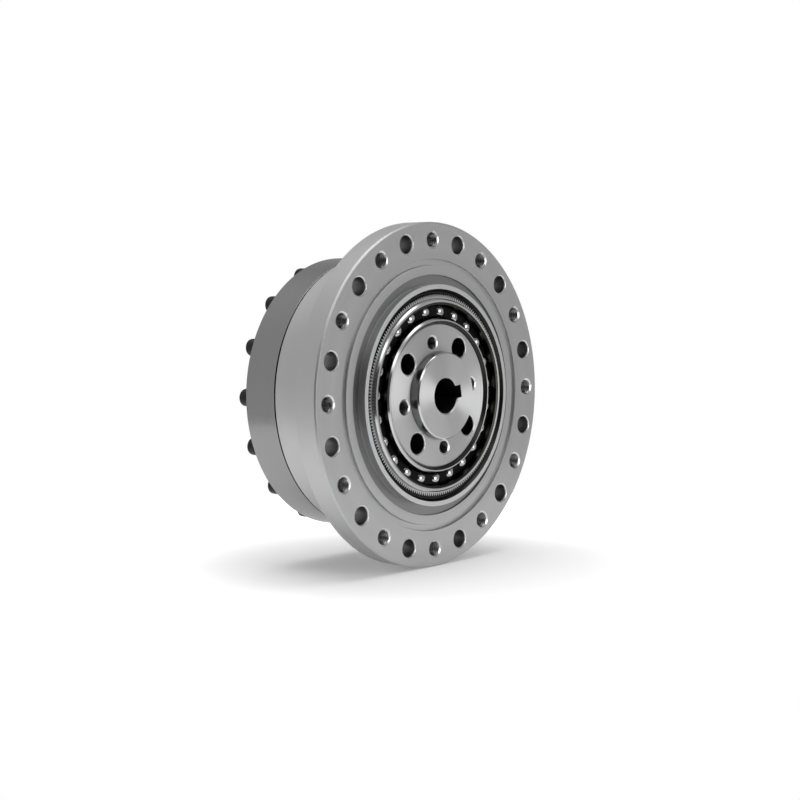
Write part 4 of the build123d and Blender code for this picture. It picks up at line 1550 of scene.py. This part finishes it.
@dataclass
class WaveGenerator:
    """What turns with the input: the elliptical plug with its keyed hub, and the inner race.

    Attributes:
        plug_radius: The plug's radius before it is drawn out to an ellipse.
        plug_front: The depth of the plug's front face.
        plug_end: The depth of its rear face.
        hub_radius: The hub's radius.
        hub_front: The depth of the hub's front face.
        hub_end: The depth of its rear face.
        bore: The bore's radius.
        key_top: How far the keyway reaches from the axis.
        key_half: Half the keyway's width.
        vents: The plain through holes.
        jacks: The tapped holes.
        race: The thin inner race on the plug.
    """

    plug_radius: float = 22.58
    plug_front: float = -1.9
    plug_end: float = 5.6
    hub_radius: float = 13.4
    hub_front: float = -5.1
    hub_end: float = 10.6
    bore: float = 5.5
    key_top: float = 7.3
    key_half: float = 2.0
    vents: HoleCircle = HoleCircle(3.25, 17.5, 4, WAVE.turn + 45, mouth=0.35)
    jacks: HoleCircle = HoleCircle(1.75, 16.5, 4, WAVE.turn, thread=0.25, pitch=0.7)
    race: ThinRace = ThinRace(22.6, 24.2, 23.57, (0.8, 0.8))

    def section(self) -> list[Point]:
        """The turned section of plug and hub in one."""
        edge, small_edge = 0.4, 0.3
        front = [
            (self.bore, self.hub_front + edge),
            (self.bore + edge, self.hub_front),
            (self.hub_radius - edge, self.hub_front),
            (self.hub_radius, self.hub_front + edge),
            (self.hub_radius, self.plug_front + small_edge),
            (self.hub_radius + 0.35, self.plug_front),
            (self.plug_radius - edge, self.plug_front),
            (self.plug_radius, self.plug_front + edge),
        ]
        back = [
            (self.plug_radius, self.plug_end - small_edge),
            (self.plug_radius - small_edge, self.plug_end),
            (self.hub_radius, self.plug_end),
            (self.hub_radius, self.hub_end - edge),
            (self.hub_radius - edge, self.hub_end),
            (self.bore + edge, self.hub_end),
            (self.bore, self.hub_end - edge),
        ]
        return softened(front + back, 0.09)

    def keyway(self) -> bpy.types.Object:
        """The cutter for the keyway, turned to the plug's long axis."""
        half, top = self.key_half, self.key_top
        section = [(0.0, -half), (top, -half), (top, half), (0.0, half)]
        slot = bar("keyway", section, self.hub_front - 1.0, self.hub_end + 1.0)
        slot.data.transform(Matrix.Rotation(-math.radians(WAVE.turn), 4, "Y"))
        return slot

    def bend(self, radius: float, angle: float, y: float) -> float:
        """Leaves the hub round and draws the plug's rim out to the ellipse."""
        share = (radius - self.hub_radius - 1.0) / (self.plug_radius - self.hub_radius - 1.0)
        return WAVE.radius(radius, angle, min(1.0, max(0.0, share)))

    def plug(self) -> None:
        """Builds the plug and hub with the keyway and the eight holes."""
        plug = turned("cam_plug_and_hub", self.section(), bend=self.bend)
        circles = (self.vents, self.jacks)
        cutters = [holes.cutters(self.plug_front, self.plug_end) for holes in circles]
        plug = shaded(cut(plug, [*cutters, self.keyway()]), 24.0)
        hub_wall_end, hub_edge_end = self.plug_front - 0.2, self.hub_front + 0.5
        hub_edge, bore_room = self.hub_radius - 0.9, self.key_top + 0.5
        web_inner, web_outer = self.hub_radius + 0.6, self.plug_radius - 1.0
        dress(plug, Slot.PLUG, Body.WAVE_GENERATOR, ["cam_plug"])
        # Painted highlight: the holes' rounded mouths take a lighter tone.
        trim(plug, Trim.MOUTH, lambda face: is_mouth(face) and web_inner < reach(face) < web_outer)
        # Painted reflection: the hub's wall takes a darker tone for its dark mirror image.
        trim(plug, Trim.POLISHED, lambda face: depth(face) < hub_wall_end and is_wall(face, 0.5))
        # Painted highlight: the hub's front edge takes a lighter tone.
        trim(plug, Trim.EDGE, front_edge(hub_edge_end, hub_edge))
        # Painted shade: the bore, the keyway and the holes take a dark tone.
        trim(plug, Trim.BORED, lambda face: reach(face) < bore_room and is_wall(face, 0.6))
        trim(plug, Trim.BORED, self.vents.is_inside)
        trim(plug, Trim.BORED, self.jacks.is_inside)

    def thin_inner_race(self) -> None:
        """Builds the thin inner race, bent by the plug."""
        ring = self.race.build("wave_inner_race")
        dress(ring, Slot.RACE, Body.WAVE_GENERATOR, ["wave_bearing_inner_race"])
        trim(ring, Trim.TURNED, is_front)
        # Painted shade: the race's walls, its ball groove among them, take a near-black tone.
        trim(ring, Trim.GREASED, lambda face: is_wall(face, 0.95))
        # Painted highlight: the race's front edge takes a lighter tone.
        trim(ring, Trim.EDGE, front_edge(self.race.front + 0.5, self.race.shoulder - 0.6))

    def build(self) -> None:
        """Builds the plug and the thin inner race."""
        self.plug()
        self.thin_inner_race()


@dataclass
class CrossedRollers:
    """The output bearing's rollers, which lean forwards and backwards by turns.

    Attributes:
        count: How many rollers in all.
        circle: The radius of their circle.
        radius: A roller's radius.
        length: A roller's length.
        edge: The chamfer at a roller's ends.
    """

    count: int = 36
    circle: float = 33.0
    radius: float = 2.5
    length: float = 4.8
    edge: float = 0.2

    def roller(self, lean: float) -> bpy.types.Object:
        """One roller at the track's depth, leaning 45 degrees one way."""
        half = self.length / 2
        outline = [
            (0, -half),
            (self.radius - self.edge, -half),
            (self.radius, self.edge - half),
            (self.radius, half - self.edge),
            (self.radius - self.edge, half),
            (0, half),
        ]
        made = turned("roller", outline, segments=48)
        tilt = Matrix.Rotation(-math.radians(45 * lean), 4, "Z")
        made.data.transform(Matrix.Translation((0, TRACK.depth * MM, 0)) @ tilt)
        return made

    def build(self) -> None:
        """Builds the two sets of rollers."""
        each = self.count // 2
        sets = ((1, 0.0, "leaning_back"), (-1, 360 / self.count, "leaning_front"))
        for lean, first, name in sets:
            roller = self.roller(lean)
            ring = ring_of("rollers_" + name, roller, self.circle, each, first, Slot.BALL)
            dress(shaded(ring), Slot.BALL, Body.ROLLER_SET, ["crossed_rollers_" + name])


INNER_PIECES: dict[str, Slot] = {
    "joint_o_ring": Slot.RUBBER,
    "front_race_ring": Slot.RACE,
    "front_race_screws": Slot.SCREW,
    "clamp_ring": Slot.RACE,
    "clamp_screws": Slot.SCREW,
    "dowel_pins": Slot.BALL,
    "roller_spacers": Slot.CAGE,
}


def finish_inner_pieces() -> None:
    """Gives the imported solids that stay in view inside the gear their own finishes."""
    for node, slot in INNER_PIECES.items():
        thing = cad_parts[node]
        thing.data.materials.clear()
        thing.data.materials.append(MATERIALS[slot])
        for polygon in thing.data.polygons:
            polygon.material_index = 0


# Stage, light and camera

PANEL_AXES = ("Sideways", "Upward", "Outward")


def towards(turn: float, rise: float) -> Vector:
    """A direction from two angles in radians: from straight in front towards +X, and up."""
    level = math.cos(rise)
    return Vector((math.sin(turn) * level, -math.cos(turn) * level, math.sin(rise)))


@dataclass(frozen=True)
class SkyPanel:
    """A soft-edged rectangle of one brightness in the sky, which the metal mirrors.

    Attributes:
        turn: Its middle's direction in degrees, from straight in front towards +X.
        rise: Its middle's height above the horizon in degrees.
        width: Half its width in degrees.
        height: Half its height in degrees.
        strength: Its brightness, where 1 is white.
        edge: The share of its half size over which it fades out.
    """

    turn: float
    rise: float
    width: float
    height: float
    strength: float
    edge: float = 0.35

    def axes(self) -> tuple[Vector, Vector, Vector]:
        """Its sideways, upward and outward directions."""
        turn = math.radians(self.turn)
        outward = towards(turn, math.radians(self.rise))
        sideways = Vector((math.cos(turn), math.sin(turn), 0.0))
        return sideways, sideways.cross(outward), outward

    def add(
        self, graph: Graph, direction: bpy.types.NodeSocket, below: object
    ) -> bpy.types.NodeSocket:
        """Lays the panel over the brightness so far.

        Args:
            graph: The world's graph.
            direction: The socket with the ray's direction.
            below: The brightness so far.

        Returns:
            The brightness with the panel on top.
        """
        values = {
            "Vector": direction,
            "Width": math.tan(math.radians(self.width)),
            "Height": math.tan(math.radians(self.height)),
            "Edge": self.edge,
            **dict(zip(PANEL_AXES, self.axes())),
        }
        mask = graph.shared("sky_panel", values).outputs["Mask"]
        return graph.mix(mask, below, self.strength)


def sky_panel_group() -> bpy.types.NodeTree:
    """A mask that is 1 inside a rectangle of directions and fades out at its edge.

    Returns:
        A group with the panel's axes and half sizes as inputs and Mask as output.
    """
    tree = node_group("sky_panel", {"Width": 0.5, "Height": 0.5, "Edge": 0.35}, ("Mask",))
    for key in PANEL_AXES:
        tree.interface.new_socket(key, in_out="INPUT", socket_type="NodeSocketVector")
    graph = Graph(tree)
    given = graph.node("NodeGroupInput").outputs
    result = graph.node("NodeGroupOutput")
    sideways, upward, outward = (
        graph.vector("DOT_PRODUCT", "Value", given["Vector"], given[key]) for key in PANEL_AXES
    )
    ahead = graph.math("MAXIMUM", outward, 0.0001)
    shares = []
    for part, size in ((sideways, "Width"), (upward, "Height")):
        whole = graph.math("MULTIPLY", ahead, given[size])
        shares.append(graph.math("DIVIDE", graph.math("ABSOLUTE", part), whole))
    start = graph.math("ADD", 1.0, given["Edge"])
    end = graph.math("SUBTRACT", 1.0, given["Edge"])
    inside = graph.fade(graph.math("MAXIMUM", *shares), start, end)
    front = graph.math("GREATER_THAN", outward, 0.0)
    graph.feed(result.inputs["Mask"], graph.math("MULTIPLY", inside, front))
    return tree


@dataclass(frozen=True)
class PhotoCamera:
    """The camera that was fitted to the photograph's flange holes.

    Attributes:
        turn: Its direction from the gear in degrees, from straight in front towards +X.
        rise: Its direction's height in degrees.
        roll: How far it is rolled, in degrees.
        distance: Its distance along its axis, in millimetres.
        shift_x: How far right of the picture's middle the gear's origin stands, in pixels.
        shift_y: How far below the picture's middle it stands, in pixels.
        focal: Its focal length in pixels.
        picture: The picture's width in pixels.
        sensor: The sensor's width in millimetres.
    """

    turn: float = -49.328
    rise: float = 4.03
    roll: float = -0.513
    distance: float = 529.69
    shift_x: float = 33.767
    shift_y: float = -4.827
    focal: float = 1708.375
    picture: float = 800.0
    sensor: float = 36.0

    def build(self) -> None:
        """Sets up the camera, moved sideways so that it needs no lens shift."""
        back = towards(math.radians(self.turn), math.radians(self.rise))
        right = (-back).cross(Vector((0, 0, 1))).normalized()
        up = right.cross(-back)
        roll = math.radians(self.roll)
        across = math.cos(roll) * right + math.sin(roll) * up
        upright = math.cos(roll) * up - math.sin(roll) * right
        per_pixel = self.distance / self.focal
        aside = self.shift_y * per_pixel * upright - self.shift_x * per_pixel * across
        spot = self.distance * back + aside
        data = bpy.data.cameras.new("camera")
        data.sensor_width = self.sensor
        data.lens = self.focal * self.sensor / self.picture
        data.clip_start = 0.01
        camera = bpy.data.objects.new("camera", data)
        turning = Matrix((across, upright, back)).transposed().to_4x4()
        camera.matrix_world = Matrix.Translation(spot * MM) @ turning
        bpy.context.scene.collection.objects.link(camera)
        bpy.context.scene.camera = camera


@dataclass
class Studio:
    """The white stage and the lit panels round it.

    Attributes:
        floor_middle: The floor's middle in metres, under the flange's rim.
        floor_radius: How far the floor reaches, in metres.
        floor_white: The floor's own brightness.
        floor_glow: How much light the floor adds where it is seen.
        shadow_start: The share of the floor's radius inside which the shadow stays whole.
        shadow_end: The share of its radius beyond which it is plain white to the camera.
        camera_glow: The light that it adds for the camera alone, inside and beyond those.
        horizon: The sky's brightness at the horizon.
        zenith: The sky's brightness overhead.
        panels: The panels, each laid over the ones before it.
    """

    floor_middle: Place = (0.0, 0.01, -0.0536)
    floor_radius: float = 0.18
    floor_white: float = 0.86
    floor_glow: float = 0.12
    shadow_start: float = 0.28
    shadow_end: float = 0.75
    camera_glow: Point = (0.04, 0.80)
    horizon: float = 0.40
    zenith: float = 0.30
    panels: tuple[SkyPanel, ...] = (
        SkyPanel(-55, 5, 55, 35, 0.06, 0.35),
        SkyPanel(58, 5, 32, 15, 0.58, 0.35),
        SkyPanel(-142, 8, 36, 36, 0.56, 0.5),
        SkyPanel(-150, 46, 40, 14, 0.56, 0.6),
        SkyPanel(0, 90, 22, 22, 3.7, 0.4),
        SkyPanel(10, 2, 13, 13, 4.4, 0.3),
        SkyPanel(-28, 40, 11, 10, 2.2, 0.35),
        SkyPanel(-102, -6, 5, 5, 6.0, 0.3),
    )

    def world(self) -> None:
        """A sky that is white to the camera and made of grey shades and panels on metal."""
        GROUPS["sky_panel"] = sky_panel_group()
        world = bpy.data.worlds.new("studio_world")
        world.use_nodes = True
        bpy.context.scene.world = world
        graph = Graph(world.node_tree)
        direction = graph.node("ShaderNodeTexCoord").outputs["Object"]
        height = graph.fed(graph.node("ShaderNodeSeparateXYZ"), {0: direction}).outputs[2]
        level = graph.fade(height, 0.0, 1.0, self.horizon, self.zenith)
        for panel in self.panels:
            level = panel.add(graph, direction, level)
        ray = graph.node("ShaderNodeLightPath").outputs
        plain = graph.math("MAXIMUM", ray["Is Camera Ray"], ray["Is Transmission Ray"])
        background = world.node_tree.nodes["Background"]
        graph.fed(background, {"Color": graph.mix(plain, level, 1.0), "Strength": 1.0})

    def floor(self) -> None:
        """A white floor that only keeps the gear's shadow."""
        shape = bmesh.new()
        bmesh.ops.create_circle(shape, cap_ends=True, segments=96, radius=self.floor_radius)
        bmesh.ops.translate(shape, verts=shape.verts, vec=self.floor_middle)
        floor = written("floor", shape)
        material, graph, shader = blank_material("white_floor")
        ray = graph.node("ShaderNodeLightPath").outputs
        mirrored = graph.math("MAXIMUM", ray["Is Glossy Ray"], ray["Is Transmission Ray"])
        seen = graph.math("MAXIMUM", ray["Is Camera Ray"], mirrored)
        place = graph.node("ShaderNodeTexCoord").outputs["Object"]
        away = graph.vector("DISTANCE", "Value", place, self.floor_middle)
        start, end = self.shadow_start * self.floor_radius, self.shadow_end * self.floor_radius
        whitening = graph.fade(away, start, end, *self.camera_glow)
        to_camera = graph.math("MULTIPLY", ray["Is Camera Ray"], whitening)
        values = {
            "Base Color": (self.floor_white, self.floor_white, self.floor_white, 1.0),
            "Roughness": 0.9,
            "Emission Color": (1.0, 1.0, 1.0, 1.0),
            "Emission Strength": graph.math("MULTIPLY_ADD", seen, self.floor_glow, to_camera),
        }
        graph.fed(shader, values)
        floor.data.materials.append(material)

    def build(self) -> None:
        """Builds the stage and sets the plain view transform."""
        self.world()
        self.floor()
        PhotoCamera().build()
        bpy.context.scene.view_settings.view_transform = "Standard"


def main() -> None:
    """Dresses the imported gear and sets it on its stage."""
    logging.basicConfig(level=logging.INFO, format="%(message)s")
    prepare_finishes()
    MountingBody().build()
    OutputBearingHousing().build()
    OutputSide().build()
    BallTrain().build()
    WaveGenerator().build()
    CrossedRollers().build()
    finish_inner_pieces()
    Studio().build()


if __name__ == "__main__":
    main()
